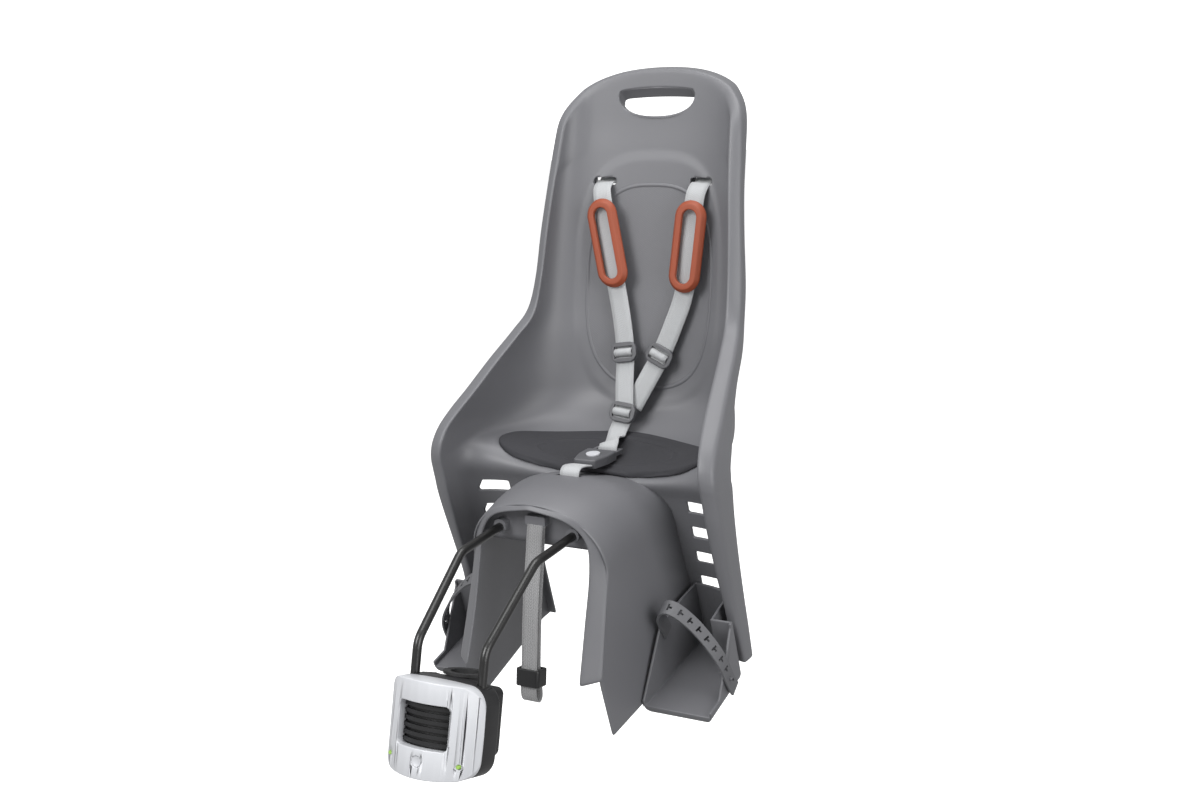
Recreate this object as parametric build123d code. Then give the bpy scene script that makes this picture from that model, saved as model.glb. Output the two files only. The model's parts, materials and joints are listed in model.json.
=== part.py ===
from build123d import *
import math
import os

# Child bike seat that hangs on the seat tube of a bicycle.
# Millimetres, +Z up, child faces -Y. The origin is the middle of the tube clamp, on the tube's axis.

# Bicycle tube and clamp block
TUBE_D = 31.8
TUBE_LEAN = 17.0
LINER_T = 2.6
LINER_LIP = 5.0
LINER_LIP_T = 3.0
BLOCK_W = 114.0
BLOCK_H = 92.0
BLOCK_CORNER_R = 22.0
BLOCK_BULGE = 5.0
BODY_BACK = 16.0
CLAMP_W = 66.0
CLAMP_H = 74.0
CLAMP_GAP = 3.0
YOKE_T = 28.0
COVER_CROWN_R = 70.0
COVER_DEPTH = 33.0
COVER_WALL = 3.0
WINDOW_W = 62.0
WINDOW_H = 46.0
WINDOW_UP = 3.0
RIB_COUNT = 6
RIB_H = 4.2
PANEL_T = 3.0
BOLT_D = 6.0
BOLT_HEAD_D = 10.0
BOLT_HEAD_H = 6.0
BOLT_KEY_R = 2.9
BOLT_X = 25.0
BOLT_Z = 24.0
BUTTON_D = 11.0
BUTTON_Z = -33.0
INDICATOR_D = 4.0
INDICATOR_TRAVEL = 2.0
LOCK_PLATE_T = 3.0
LOCK_PLATE_Z = -23.0
SPRING_WIRE = 0.8
SPRING_TURNS = 4
RELEASE_SPRING_R = 3.0
BODY_EDGE_R = 4.0
PANEL_R = 58.0
RIB_PROUD = 3.5
BOLT_REACH = 15.0
BOLT_SUNK = 7.0
LOCK_BACK = 22.0
LOCK_PLATE_W = 72.0
LOCK_PLATE_L = 16.0
STEM_L = 10.0
BUTTON_SUNK = 0.6
DIMPLE_R = 14.0
DIMPLE_DEEP = 0.9
COLLAR_T = 1.5
COLLAR_ROOM = 0.5
INDICATOR_PROUD = 1.2
PIN_SPRING = 7.0

# Support bar
ROD_D = 10.0
ROD_X = 42.5
ROD_AHEAD = 31.0
ROD_STRAIGHT = 35.0
ROD_TIP_UP = 7.0
ROD_BEND_R = 26.0
ROD_BEND_HIGH = (48.0, 91.0, 150.7)
ROD_REAR_Y = 322.0
ROD_REAR_Z = 162.0
ROD_CLEAR = 0.3
SADDLE_Y = 250.0
SADDLE_Z = 159.0
SADDLE_W = 22.0
SADDLE_L = 30.0
CLAMP_PLATE_T = 9.0
SCREW_D = 4.0
SCREW_HEAD_D = 7.5
SCREW_HEAD_H = 3.0
SCREW_L = 20.0
SCREW_AWAY = 8.5
SCREW_APART = 10.0

# Moulded shell
WALL = 3.0
DISH = 32.0
BACK_LEAN = 9.5
LADDER_SLOPE = 0.25
LADDER_TOP_Z = 163.0
LADDER_TOP_Y = 304.0
SLOT_COUNT = 5
SLOT_PITCH = 33.0
SLOT_W = 40.0
SLOT_H = 14.0
SLOT_X = 142.0
SKIRT_X = 89.0
SKIRT_FLARE = 0.05
SKIRT_SPREAD = 0.09
SKIRT_TOP_Y = 173.0
SKIRT_TOP_Z = 118.0
SKIRT_DEPTH = 198.0
WEB_Y = 180.0
WEB_BOTTOM_Z = 137.0
WEB_HOLE_D = 16.0
WEB_HOLE_Z = 155.5
SAFETY_SLOT_Z = 166.6
CROTCH_SLOT_Y = 247.0
SLOT_DROP = 8.0
LIP_START = 24.0
HANDLE_W = 104.0
HANDLE_H = 31.0
HANDLE_BOW = 3.0
HANDLE_CORNER_R = 7.0
HANDLE_Z = 598.0
HANDLE_DEEP = 14.0
HARNESS_SLOT_X = 67.0
HARNESS_SLOT_Z = 505.0

# Webbing and soft parts
WEBBING_W = 25.0
WEBBING_T = 1.6
STRAP_BOW_RIGHT = 0.1
STRAP_BOW_LEFT = 0.9
SLIDE_BOW = 0.7
PAD_T = 6.0
SHOULDER_PAD_W = 42.0
SHOULDER_PAD_L = 112.0
SHOULDER_PAD_RING = 10.0
SHOULDER_PAD_T = 9.0
GLIDE_W = 36.0
GLIDE_H = 25.0
GLIDE_T = 4.0
GLIDE_SLOT = 5.0
ANCHOR_W = 44.0
ANCHOR_H = 24.0
ANCHOR_T = 4.0
ANCHOR_GAP = 1.5
BUCKLE_W = 40.0
BUCKLE_T = 11.0
BUCKLE_FRONT_Y = 281.0
BUCKLE_BACK_Y = 326.0
BUCKLE_TAIL_W = 28.0
BUCKLE_BUTTON_D = 17.0
BUCKLE_BUTTON_UP = 1.6
BUCKLE_BUTTON_TRAVEL = 2.0
TONGUE_L = 18.0
TONGUE_T = 5.0
SLIDER_W = 30.0
SLIDER_H = 20.0
SLIDER_WALL = 3.0
PAD_LIFT = 0.6
SAFETY_W = 20.0
FOOT_STRAP_W = 18.0
FOOT_STRAP_T = 2.4
FOOT_HOLES = 8

# Footrest
FOOT_WALL = 3.0
FOOT_GAP = 0.4
FOOT_IN = 102.5
FOOT_STEP = 166.0
FOOT_OUT = 190.0
FOOT_LONG = 146.0
FOOT_HIGH = 76.0
FOOT_SIDE_HIGH = 73.0
FOOT_SIDE_LONG = 86.0
FOOT_OUTER_HIGH = 69.0
FOOT_FLOOR = 12.0
FOOT_REST_Z = -20.0
RIM_CLEAR = 63.5
FOOT_TRAVEL = 99.0
FOOT_LIP_R = 9.0
FOOT_CORNER_R = 16.0
FOOT_STUD_D = 4.4
FOOT_STUD_L = 8.0

# Rows of the shell from above the top edge down to the guards' feet: the middle (y, z), the rim's
# inner edge (x, y, z), its outer edge (x, y, z), the lip behind it (y, z) and how square the row bends.
# The first rows run past the top and are trimmed by the top arch; the last ones are the ladder walls.
SHELL_ROWS = [
    (517, 665, 117, 487, 665, 131, 487, 665, 13, 0, 2.6),
    (511, 625, 116, 479, 625, 130.5, 481, 625, 13, -2, 2.6),
    (504, 577, 114, 470, 577, 128, 476, 577, 13, -2, 2.6),
    (497, 540, 116, 458, 540, 131, 465, 540, 13, -2, 2.6),
    (489, 495, 120, 444, 497, 134.5, 451, 495, 13, -2, 2.6),
    (481, 448, 124, 431, 450, 139, 438, 446, 13, -2, 2.7),
    (471, 392, 128, 415.5, 392, 143.5, 426, 392, 14, -3, 2.8),
    (463, 350, 131.5, 398, 350, 147.5, 409, 355, 15, -7, 2.9),
    (457, 318, 139, 368, 327, 156, 383, 332, 15, -14, 2.9),
    (452, 290, 147, 332, 303, 166, 343, 305, 15, -18, 3.0),
    (447, 265, 155, 293, 276, 175.5, 303, 276, 16, -20, 3.1),
    (440, 243, 162, 264, 256, 182, 275, 257, 18, -20, 3.2),
    (427, 224, 167, 246, 241, 186.5, 254, 240, 22, -16, 3.3),
    (406, 207, 169.5, 236.5, 227, 189, 242, 224, 25, -10, 3.4),
    (375, 194, 171, 232.5, 215, 190.5, 238, 210, 27, -4, 3.5),
    (340, 187, 172, 232.5, 204, 191, 238, 199, 28, 0, 3.6),
    (312, 184, 172.3, 235, 194, 191.5, 240, 190, 28, 3, 3.8),
    (298, 176, 172.5, 238.5, 180, 191.5, 243, 175, 28, 5, 4.2),
    (304.5, 160, 172.7, 243, 160, 191.5, 247, 155, 28, 6, 5),
    (313, 128, 173.2, 252, 128, 190.8, 256, 124, 27, 6, 5),
    (322, 90, 173.8, 263.5, 90, 189.6, 267, 88, 27, 6, 5),
    (333, 47, 175, 278, 47, 188.7, 280, 45, 26, 6, 5),
    (342, 10, 174.5, 290, 10, 190, 288, 10, 25, 6, 5),
    (351, -27, 173.5, 304, -27, 190, 299, -27, 24, 0, 5),
]
PAN_SHARE = 0.66
PAN_REACH = 0.14
# Nose and skirts from the front: y, middle height, how square the arch is
NOSE_ROWS = [
    (150, 184, 2.1),
    (165, 191, 2.1),
    (200, 198, 2.3),
    (245, 198, 2.6),
    (280, 189, 2.9),
    (310, 182.5, 3.1),
    (365, 178, 3.3),
]
# Side view of one skirt (y, z): front edge, lower tip, rear corner, ladder wall
SKIRT_OUTLINE = [
    (157, 212), (160, 180), (171, 118), (146, 33), (136, 3), (150, -70),
    (335, -30), (359, -30), (312, 160), (312, 212),
]
# Band round the nose's front opening, right half: inner edge and outer edge
BAND_INNER = [(0, 155, 184), (45, 158, 174), (68, 162, 152), (73, 158, 118), (73, 141, 62), (75, 118, 0)]
BAND_OUTER = [(0, 158, 189), (55, 162, 178), (80, 168, 147), (89, 171, 112), (93, 150, 45), (95.5, 136, 3)]
# Front view of the shell's top edge, right half (x, z), and the plan of how far back its lip reaches (x, y)
TOP_ARCH = [(0, 640), (58, 635.5), (106, 613), (121, 596), (129, 575), (131.5, 560)]
TOP_LIP = [(0, 541), (58, 536), (106, 522), (131, 494)]
# Seat pad in plan, right half (x, y)
PAD_OUTLINE = [(0, 281), (70, 285), (118, 293), (137, 309), (122, 345), (70, 386), (0, 402)]

TUBE_R = TUBE_D / 2
LINER_R = TUBE_R + LINER_T
ROD_R = ROD_D / 2
SPLIT = ROD_AHEAD + 12.0
CROWN_Y = COVER_CROWN_R - SPLIT - COVER_DEPTH
BLOCK_TOP = BLOCK_H / 2
FIT = 0.3
FAR = 500.0
LOW = (Align.CENTER, Align.CENTER, Align.MIN)
FRONT = (Align.CENTER, Align.MAX, Align.CENTER)

tube_up = Vector(0, math.sin(math.radians(TUBE_LEAN)), math.cos(math.radians(TUBE_LEAN)))
block_plane = Plane(origin=(0, 0, 0), x_dir=(1, 0, 0), z_dir=tube_up)
ladder_up = Vector(0, -LADDER_SLOPE, 1).normalized()
back_normal = Vector(0, math.cos(math.radians(BACK_LEAN)), -math.sin(math.radians(BACK_LEAN)))
back_up = Vector(0, math.sin(math.radians(BACK_LEAN)), math.cos(math.radians(BACK_LEAN)))

os.makedirs("parts", exist_ok=True)


def save(name, shape):
    """Write one piece to its own file."""
    export_step(shape, f"parts/{name}.step")


def save_group(name, shapes):
    """Write equal pieces together."""
    save(name, Compound(shapes))


def save_pair(name, right):
    """Write a piece and its mirror image for the left side."""
    save(name + "_right", right)
    save(name + "_left", mirror(right, Plane.YZ))


def blend(points, share):
    """A smooth curve through the points, from 0 at the first to 1 at the last."""
    spans = len(points) - 1
    place = min(max(share, 0), 1) * spans
    index = min(int(place), spans - 1)
    f = place - index
    before = points[max(index - 1, 0)]
    after = points[min(index + 2, spans)]
    result = []
    for a, b, c, d in zip(before, points[index], points[index + 1], after):
        curve = (2 * a - 5 * b + 4 * c - d) * f**2 + (3 * b - a - 3 * c + d) * f**3
        result.append(0.5 * (2 * b + (c - a) * f + curve))
    return tuple(result)


def even(points, count):
    """The same line with its points spaced evenly."""
    reach = [0.0]
    for a, b in zip(points, points[1:]):
        reach.append(reach[-1] + (b - a).length)
    result = []
    k = 0
    for i in range(count + 1):
        want = reach[-1] * i / count
        while k < len(points) - 2 and reach[k + 1] < want:
            k += 1
        share = (want - reach[k]) / (reach[k + 1] - reach[k])
        result.append(points[k] + (points[k + 1] - points[k]) * share)
    return result


def bend(share, square):
    """How far a row has gone sideways and ahead, from 0 at its middle to 1 at its end."""
    turn = share * math.pi / 2
    return math.sin(turn) ** (2 / square), 1 - max(math.cos(turn), 0) ** (2 / square)


def mirrored(points):
    """The whole outline of a right half, from its left end to its right end."""
    return [(-x, *rest) for x, *rest in points[:0:-1]] + list(points)


def wall_of_rows(rows, thickness, flat):
    """A wall between rows of points and their offset; flat names the axis of the end rows' planes."""
    last = len(rows) - 1
    wires = []
    for i, row in enumerate(rows):
        offset = []
        for j, point in enumerate(row):
            along = row[min(j + 1, len(row) - 1)] - row[max(j - 1, 0)]
            down = rows[min(i + 1, last)][j] - rows[max(i - 1, 0)][j]
            moved = point - along.cross(down).normalized() * thickness
            if i in (0, last):
                keep = (moved - point).dot(flat)
                moved = moved - flat * keep
            offset.append(moved)
        wires.append(Wire.make_polygon(row + offset[::-1], close=True))
    return Solid.make_loft(wires, ruled=True)


def ribbon(centres, across, thickness):
    """A strip along the centres, as wide as the vectors across it."""
    left = [Vector(*c) - Vector(*a) * 0.5 for c, a in zip(centres, across)]
    right = [Vector(*c) + Vector(*a) * 0.5 for c, a in zip(centres, across)]
    face = Face.make_surface_from_curves(Edge.make_spline(left), Edge.make_spline(right))
    return Solid.thicken(face, thickness)


def pan_lift(share):
    """Rise of the pan's lobes beside its middle."""
    near = max(0, 1 - abs(share - PAN_SHARE) / PAN_REACH)
    return DISH * near * near * (3 - 2 * near)


def shell_row(share, columns):
    """One row of the shell's outer face, from the left lip to the right lip."""
    yc, zc, xi, yi, zi, xo, yo, zo, lip_y, lip_z, square = blend(SHELL_ROWS, share)
    above = blend(SHELL_ROWS, share - 0.01)
    below = blend(SHELL_ROWS, share + 0.01)
    outward = Vector(0, above[1] - below[1], below[0] - above[0]).normalized() * WALL
    half = []
    for j in range(81):
        sideways, ahead = bend(j / 80, square)
        lift = pan_lift(share) * sideways**2 * (1 - ahead)
        point = Vector((xi + WALL) * sideways, yc + (yi - yc) * ahead, zc + (zi - zc) * ahead + lift)
        half.append(point + outward)
    half = even(half, columns)
    rim = Vector(xo - WALL, yo + WALL, zo)
    half += [rim, rim + Vector(0, lip_y, lip_z)]
    if share in (0, 1):
        half = [Vector(p.X, p.Y, zc) for p in half]
    return [Vector(-p.X, p.Y, p.Z) for p in half[:0:-1]] + half


def on_back(x, z):
    """A point of the back's front face at a height."""
    low = 0.0
    high = 0.55
    for _ in range(40):
        middle = (low + high) / 2
        if blend(SHELL_ROWS, middle)[1] > z:
            low = middle
        else:
            high = middle
    yc, zc, xi, yi, *_, square = blend(SHELL_ROWS, low)
    turn = math.asin(min(abs(x) / xi, 1) ** (square / 2))
    ahead = 1 - math.cos(turn) ** (2 / square)
    return Vector(x, yc + (yi - yc) * ahead, z)


def ladder_y(z):
    """Front face of the ladder wall at a height."""
    return LADDER_TOP_Y + (LADDER_TOP_Z - z) * LADDER_SLOPE


def skirt_x(y, z):
    """Outer face of the right skirt."""
    return SKIRT_X + (SKIRT_TOP_Z - z) * SKIRT_FLARE + (y - SKIRT_TOP_Y) * SKIRT_SPREAD


def nose_row(y, middle, square):
    """One arch of the nose with its skirts, from the left skirt's foot to the right one's."""
    half = skirt_x(y, SKIRT_TOP_Z)
    row = []
    for j in range(61):
        sideways, ahead = bend(j / 60, square)
        row.append((half * sideways, y, middle + (SKIRT_TOP_Z - middle) * ahead))
    for j in range(1, 41):
        z = SKIRT_TOP_Z - SKIRT_DEPTH * j / 40
        row.append((skirt_x(y, z), y, z))
    return even([Vector(*p) for p in mirrored(row)], 40)


def nose():
    """Nose and skirts, trimmed to the skirts' side view."""
    rows = [nose_row(*blend(NOSE_ROWS, i / 12)) for i in range(13)]
    outline = Plane.YZ * make_face(Polyline(*SKIRT_OUTLINE, close=True))
    return wall_of_rows(rows, WALL, Vector(0, 1, 0)) & extrude(outline, 2 * BLOCK_W, both=True)


def strip(inner, outer, thickness):
    """A strip between two edges, each given for the right half."""
    first = Edge.make_spline([Vector(*p) for p in mirrored(inner)])
    second = Edge.make_spline([Vector(*p) for p in mirrored(outer)])
    return Solid.thicken(Face.make_surface_from_curves(first, second), thickness)


def arch_face(inset):
    """Front view of everything under the shell's top edge, drawn in by an inset."""
    arch = [(x - inset * x / TOP_ARCH[-1][0], z - inset) for x, z in TOP_ARCH]
    edge = mirrored(arch)
    wide = 2 * FOOT_OUT
    low = -wide
    end_x, end_z = arch[-1]
    half = [(wide, low), (wide, end_z - BLOCK_H), (end_x, end_z)]
    side = half[::-1] + [(-x, z) for x, z in half]
    return Plane.XZ * make_face([Spline(*edge), Polyline(*side)])


def handle_face(grow):
    """D-shaped hand hole in the shell's top."""
    end = HANDLE_W / 2 + grow
    high = HANDLE_H / 2
    top = ThreePointArc((-end, high), (0, high + HANDLE_BOW + grow), (end, high))
    low = ThreePointArc((end, high), (0, -high - grow), (-end, high))
    face = make_face([top, low])
    return handle_plane * fillet(face.vertices(), HANDLE_CORNER_R + grow)


handle_plane = Plane(origin=on_back(0, HANDLE_Z), x_dir=(-1, 0, 0), z_dir=back_normal)


def rod_path():
    """Centre line of the bent bar, from the right tip round under the pan to the left tip."""
    tip_z = ROD_TIP_UP - BLOCK_TOP
    points = []
    for side in (1, -1):
        x, y, z = ROD_BEND_HIGH
        leg = [
            block_plane.from_local_coords(Vector(side * ROD_X, -ROD_AHEAD, tip_z)),
            block_plane.from_local_coords(Vector(side * ROD_X, -ROD_AHEAD, BLOCK_TOP + ROD_STRAIGHT)),
            Vector(side * x, y, z),
            Vector(side * x, ROD_REAR_Y, ROD_REAR_Z),
        ]
        points += leg if side > 0 else leg[::-1]
    return FilletPolyline(*points, radius=ROD_BEND_R)


def bar(radius):
    path = rod_path()
    return sweep(Plane(path @ 0, z_dir=path % 0) * Circle(radius), path)


def cutter(x, y, z, width, deep, high):
    """A plain block about a centre."""
    return Pos(x, y, z) * Box(width, deep, high)


def shell_wall():
    """Back, wings, pan, ladder walls and guards with the rim, as one moulded wall."""
    steps = 46
    rows = [shell_row(i / steps, 13) for i in range(steps + 1)]
    wall = wall_of_rows(rows, WALL, Vector(0, 0, 1))
    tunnel_w = 2 * (skirt_x(LADDER_TOP_Y, SKIRT_TOP_Z) - WALL / 2)
    tunnel_top = LADDER_TOP_Z + WALL
    wall -= cutter(0, LADDER_TOP_Y, tunnel_top - BLOCK_H * 1.5, tunnel_w, 3 * BLOCK_H, 3 * BLOCK_H)
    return wall & extrude(arch_face(0), 2 * FAR, both=True)


def top_lip():
    """Lip that runs back from the shell's top edge."""
    band = extrude(arch_face(0) - arch_face(WALL), 2 * FAR, both=True)
    end_x, end_y = TOP_LIP[-1]
    front = end_y - LIP_START
    back = [(end_x, end_y), (end_x, front), (-end_x, front), (-end_x, end_y)]
    plan = make_face([Spline(*mirrored(TOP_LIP)), Polyline(*back)])
    band = band & (Pos(0, 0, TOP_ARCH[-1][1] + LIP_START) * extrude(plan, BLOCK_H))
    wires = []
    for i in range(7):
        row = shell_row(i / 46, 13)[2:-2]
        ends = [Vector(row[-1].X, front - BLOCK_H, row[-1].Z), Vector(row[0].X, front - BLOCK_H, row[0].Z)]
        wires.append(Wire.make_polygon(row + ends, close=True))
    return band - Solid.make_loft(wires, ruled=True)


def web():
    """Upright panel inside the nose's front opening, with the holes for the bar and the safety strap."""
    row = nose_row(WEB_Y, blend(NOSE_ROWS, 0.2)[1] - WALL / 2, NOSE_ROWS[1][2])
    arch = [(p.X * 0.985, p.Z) for p in row if p.Z > WEB_BOTTOM_Z]
    panel = at_depth(WEB_Y) * make_face(Polyline(*arch, close=True))
    return extrude(panel, WALL)


def ladder_slots(side):
    """Row of openings in one ladder wall."""
    result = []
    for k in range(SLOT_COUNT):
        z = LADDER_TOP_Z - SLOT_DROP - k * SLOT_PITCH
        result.append(cutter(side * SLOT_X, ladder_y(z), z, SLOT_W, 8 * WALL, SLOT_H))
    return result


def saddles():
    """Two blocks under the nose that the bar lies against."""
    top = blend(NOSE_ROWS, 0.5)[1] - WALL
    result = []
    for side in (1, -1):
        x = side * ROD_BEND_HIGH[0]
        result.append(cutter(x, SADDLE_Y, (SADDLE_Z + top) / 2, SADDLE_W, SADDLE_L, top - SADDLE_Z))
    return result


def shell_cuts():
    """Hand hole, strap slots, ladder openings and the bar's clearance."""
    cuts = [extrude(handle_face(0), FAR, both=True), bar(ROD_R + ROD_CLEAR)]
    cuts += rod_screws(SCREW_D + FIT, SCREW_D + FIT)
    for side in (1, -1):
        cuts += ladder_slots(side)
        hole = on_back(side * HARNESS_SLOT_X, HARNESS_SLOT_Z)
        cuts.append(cutter(hole.X, hole.Y, hole.Z, WEBBING_W + 6, 10 * WALL, 6 * WEBBING_T))
        cuts.append(bore(side * ROD_BEND_HIGH[0], WEB_HOLE_Z, WEB_Y + 5 * WALL, WEB_HOLE_D / 2, 10 * WALL))
    cuts.append(cutter(0, WEB_Y, SAFETY_SLOT_Z, SAFETY_W + 6, 4 * WALL, 7 * WEBBING_T))
    cuts.append(cutter(0, CROTCH_SLOT_Y, NOSE_ROWS[3][1], WEBBING_W + 6, 6 * WEBBING_T, 10 * WALL))
    return cuts


def shell():
    wall = shell_wall()
    parts = [nose(), top_lip(), web(), strip(BAND_INNER, BAND_OUTER, WALL), *saddles()]
    parts.append(extrude(handle_face(WALL), HANDLE_DEEP))
    return wall.fuse(*parts).cut(*shell_cuts())


def rod_clamp():
    """Plate that holds the bar up in its saddles."""
    middle = SADDLE_Z - CLAMP_PLATE_T / 2 - FIT
    plate = cutter(0, SADDLE_Y, middle, 2 * ROD_BEND_HIGH[0] + SADDLE_W, SADDLE_L, CLAMP_PLATE_T)
    return plate.cut(bar(ROD_R + ROD_CLEAR), *rod_screws(SCREW_D + FIT, SCREW_D + FIT))


def rod_screws(shank, head):
    """Four screws that pull the plate against the saddles."""
    screws = []
    low = SADDLE_Z - CLAMP_PLATE_T - 2 * FIT
    for side in (1, -1):
        for end in (1, -1):
            place = Pos(side * (ROD_BEND_HIGH[0] + SCREW_AWAY), SADDLE_Y + end * SCREW_APART, low)
            screw = place * Cylinder(shank / 2, SCREW_L, align=LOW)
            screw += place * Pos(0, 0, -SCREW_HEAD_H) * Cylinder(head / 2, SCREW_HEAD_H, align=LOW)
            screws.append(screw)
    return screws


def block_face(inset):
    """Front view of the clamp block."""
    half_w = BLOCK_W / 2 - inset
    half_h = BLOCK_TOP - inset
    bow = BLOCK_BULGE
    sides = [
        ThreePointArc((-half_w, half_h), (0, half_h + bow / 2), (half_w, half_h)),
        ThreePointArc((half_w, half_h), (half_w + bow / 3, 0), (half_w, -half_h)),
        ThreePointArc((half_w, -half_h), (0, -half_h - bow), (-half_w, -half_h)),
        ThreePointArc((-half_w, -half_h), (-half_w - bow / 3, 0), (-half_w, half_h)),
    ]
    face = make_face(sides)
    return fillet(face.vertices(), BLOCK_CORNER_R - inset)


def at_depth(y):
    """Front-view plane of the block at a depth."""
    return Plane.XZ.offset(-y)


def bore(x, z, y, radius, length):
    """A round rod that starts at a depth and points forward."""
    return extrude(at_depth(y) * Pos(x, z) * Circle(radius), length)


def crown(radius):
    """Round front of the cover: everything inside a radius about an upright axis."""
    return Pos(0, CROWN_Y, 0) * Cylinder(radius, 2 * BLOCK_H)


def window_face(grow):
    return RectangleRounded(WINDOW_W + 2 * grow, WINDOW_H + 2 * grow, 5 + grow)


def block_cover():
    split = at_depth(-SPLIT)
    front = COVER_DEPTH + COVER_WALL
    outer = extrude(split * block_face(0), front) & crown(COVER_CROWN_R)
    inner = extrude(split * block_face(COVER_WALL), front) & crown(COVER_CROWN_R - COVER_WALL)
    frame = extrude(split * Pos(0, WINDOW_UP) * window_face(COVER_WALL), front)
    frame = (frame & crown(COVER_CROWN_R)) - crown(PANEL_R)
    cover = outer - inner + frame
    cover -= extrude(split * Pos(0, WINDOW_UP) * window_face(0), front)
    cover -= bore(0, BUTTON_Z, -SPLIT, BUTTON_D / 2 + FIT, front)
    for side in (1, -1):
        cover -= bore(side * ROD_X, BUTTON_Z, -SPLIT, INDICATOR_D / 2 + FIT, front)
    return cover


def ribbed_panel():
    plate = Pos(0, -SPLIT, WINDOW_UP) * Box(WINDOW_W + 4 * COVER_WALL, 2 * FAR, WINDOW_H + 3 * COVER_WALL)
    panel = (crown(PANEL_R - FIT) - crown(PANEL_R - PANEL_T)) & plate
    panel &= Pos(0, -SPLIT - FIT, 0) * Box(FAR, FAR, FAR, align=FRONT)
    ring = crown(PANEL_R + RIB_PROUD) - crown(PANEL_R - PANEL_T)
    pitch = (WINDOW_H - 2) / RIB_COUNT
    for k in range(RIB_COUNT):
        z = WINDOW_UP + (k - (RIB_COUNT - 1) / 2) * pitch
        panel += ring & (Pos(0, -SPLIT - FIT, z) * Box(WINDOW_W - 2, FAR, RIB_H, align=FRONT))
    return panel


def bolt_places():
    """Where the four clamp bolts stand, seen from the front."""
    return [(side * BOLT_X, up * BOLT_Z) for side in (1, -1) for up in (1, -1)]


def block_body():
    body = extrude(at_depth(-BODY_BACK) * block_face(0), SPLIT - BODY_BACK)
    body = fillet(body.edges().group_by(Axis.Y)[-1], BODY_EDGE_R)
    clamp = extrude(at_depth(-CLAMP_GAP / 2) * RectangleRounded(CLAMP_W, CLAMP_H, 8), BODY_BACK)
    body += clamp
    body -= Cylinder(LINER_R + FIT / 2, 3 * BLOCK_H)
    for side in (1, -1):
        socket = Pos(side * ROD_X, -ROD_AHEAD, ROD_TIP_UP - BLOCK_TOP - FIT)
        body -= socket * Cylinder(ROD_R + ROD_CLEAR, 2 * BLOCK_H, align=LOW)
        body -= bore(side * ROD_X, BUTTON_Z, -ROD_AHEAD, INDICATOR_D / 2 + FIT, SPLIT)
    for x, z in bolt_places():
        body -= bore(x, z, FAR, BOLT_D / 2 + FIT / 2, FAR + BOLT_REACH)
    deep = SPLIT - LOCK_BACK
    middle = deep / 2 - SPLIT
    stem_high = LOCK_PLATE_Z - BUTTON_Z + BUTTON_D + 2
    body -= cutter(0, middle, LOCK_PLATE_Z, LOCK_PLATE_W + 4, deep, LOCK_PLATE_T + 2)
    body -= cutter(0, middle, (LOCK_PLATE_Z + BUTTON_Z) / 2, BUTTON_D + 2, deep, stem_high)
    return body


def button_front():
    """Depth of the release button's face, a little below the cover's crown."""
    return -(SPLIT + COVER_DEPTH) + BUTTON_SUNK


def release_button():
    front = button_front()
    long = -front - SPLIT
    button = bore(0, BUTTON_Z, -SPLIT, BUTTON_D / 2, long)
    dimple = Pos(0, front - DIMPLE_R + DIMPLE_DEEP, BUTTON_Z) * Sphere(DIMPLE_R)
    collar_y = -(SPLIT + COVER_DEPTH) + COVER_WALL + FIT + COLLAR_ROOM
    button += bore(0, BUTTON_Z, collar_y + COLLAR_T, BUTTON_D / 2 + COLLAR_T, COLLAR_T)
    return button - dimple


def lock_plate():
    """Plate behind the button that catches the bar's two ends."""
    front = -SPLIT
    back = front + LOCK_PLATE_L
    middle = (front + back) / 2
    plate = Pos(0, middle, LOCK_PLATE_Z) * Box(LOCK_PLATE_W, LOCK_PLATE_L, LOCK_PLATE_T)
    high = LOCK_PLATE_Z - BUTTON_Z + BUTTON_D / 2
    stem = Pos(0, front + STEM_L / 2, BUTTON_Z - BUTTON_D / 2 + high / 2) * Box(BUTTON_D - 1, STEM_L, high)
    return plate + stem


def coil(radius, length):
    """A compression spring along Z from the origin."""
    path = Helix(length / SPRING_TURNS, length, radius)
    return sweep(Plane(path @ 0, z_dir=path % 0) * Circle(SPRING_WIRE / 2), path, is_frenet=True)


def toward_back(x, y, z):
    """Plane at a point of the block whose axis points back along the block's depth."""
    return Plane(origin=(x, y, z), x_dir=(1, 0, 0), z_dir=(0, 1, 0))


def release_spring():
    start = -SPLIT + STEM_L + SPRING_WIRE / 2 + FIT
    length = -LOCK_BACK - FIT - SPRING_WIRE / 2 - start
    return toward_back(0, start, BUTTON_Z) * coil(RELEASE_SPRING_R, length)


def indicator(side):
    """Sprung pin that shows the bar's end is home."""
    face = CROWN_Y - math.sqrt(COVER_CROWN_R**2 - ROD_X**2)
    front = face - INDICATOR_PROUD
    back = -ROD_AHEAD - ROD_R - INDICATOR_TRAVEL - 2 * FIT
    pin = toward_back(side * ROD_X, front, BUTTON_Z) * Cylinder(INDICATOR_D / 2, back - front, align=LOW)
    collar = toward_back(side * ROD_X, -SPLIT - PIN_SPRING - COLLAR_T, BUTTON_Z)
    return pin + collar * Cylinder(INDICATOR_D / 2 + COLLAR_T, COLLAR_T, align=LOW)


def indicator_spring(side):
    start = -SPLIT - PIN_SPRING + SPRING_WIRE / 2 + FIT
    length = PIN_SPRING - SPRING_WIRE - 2 * FIT
    return toward_back(side * ROD_X, start, BUTTON_Z) * coil(INDICATOR_D / 2 + SPRING_WIRE, length)


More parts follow.
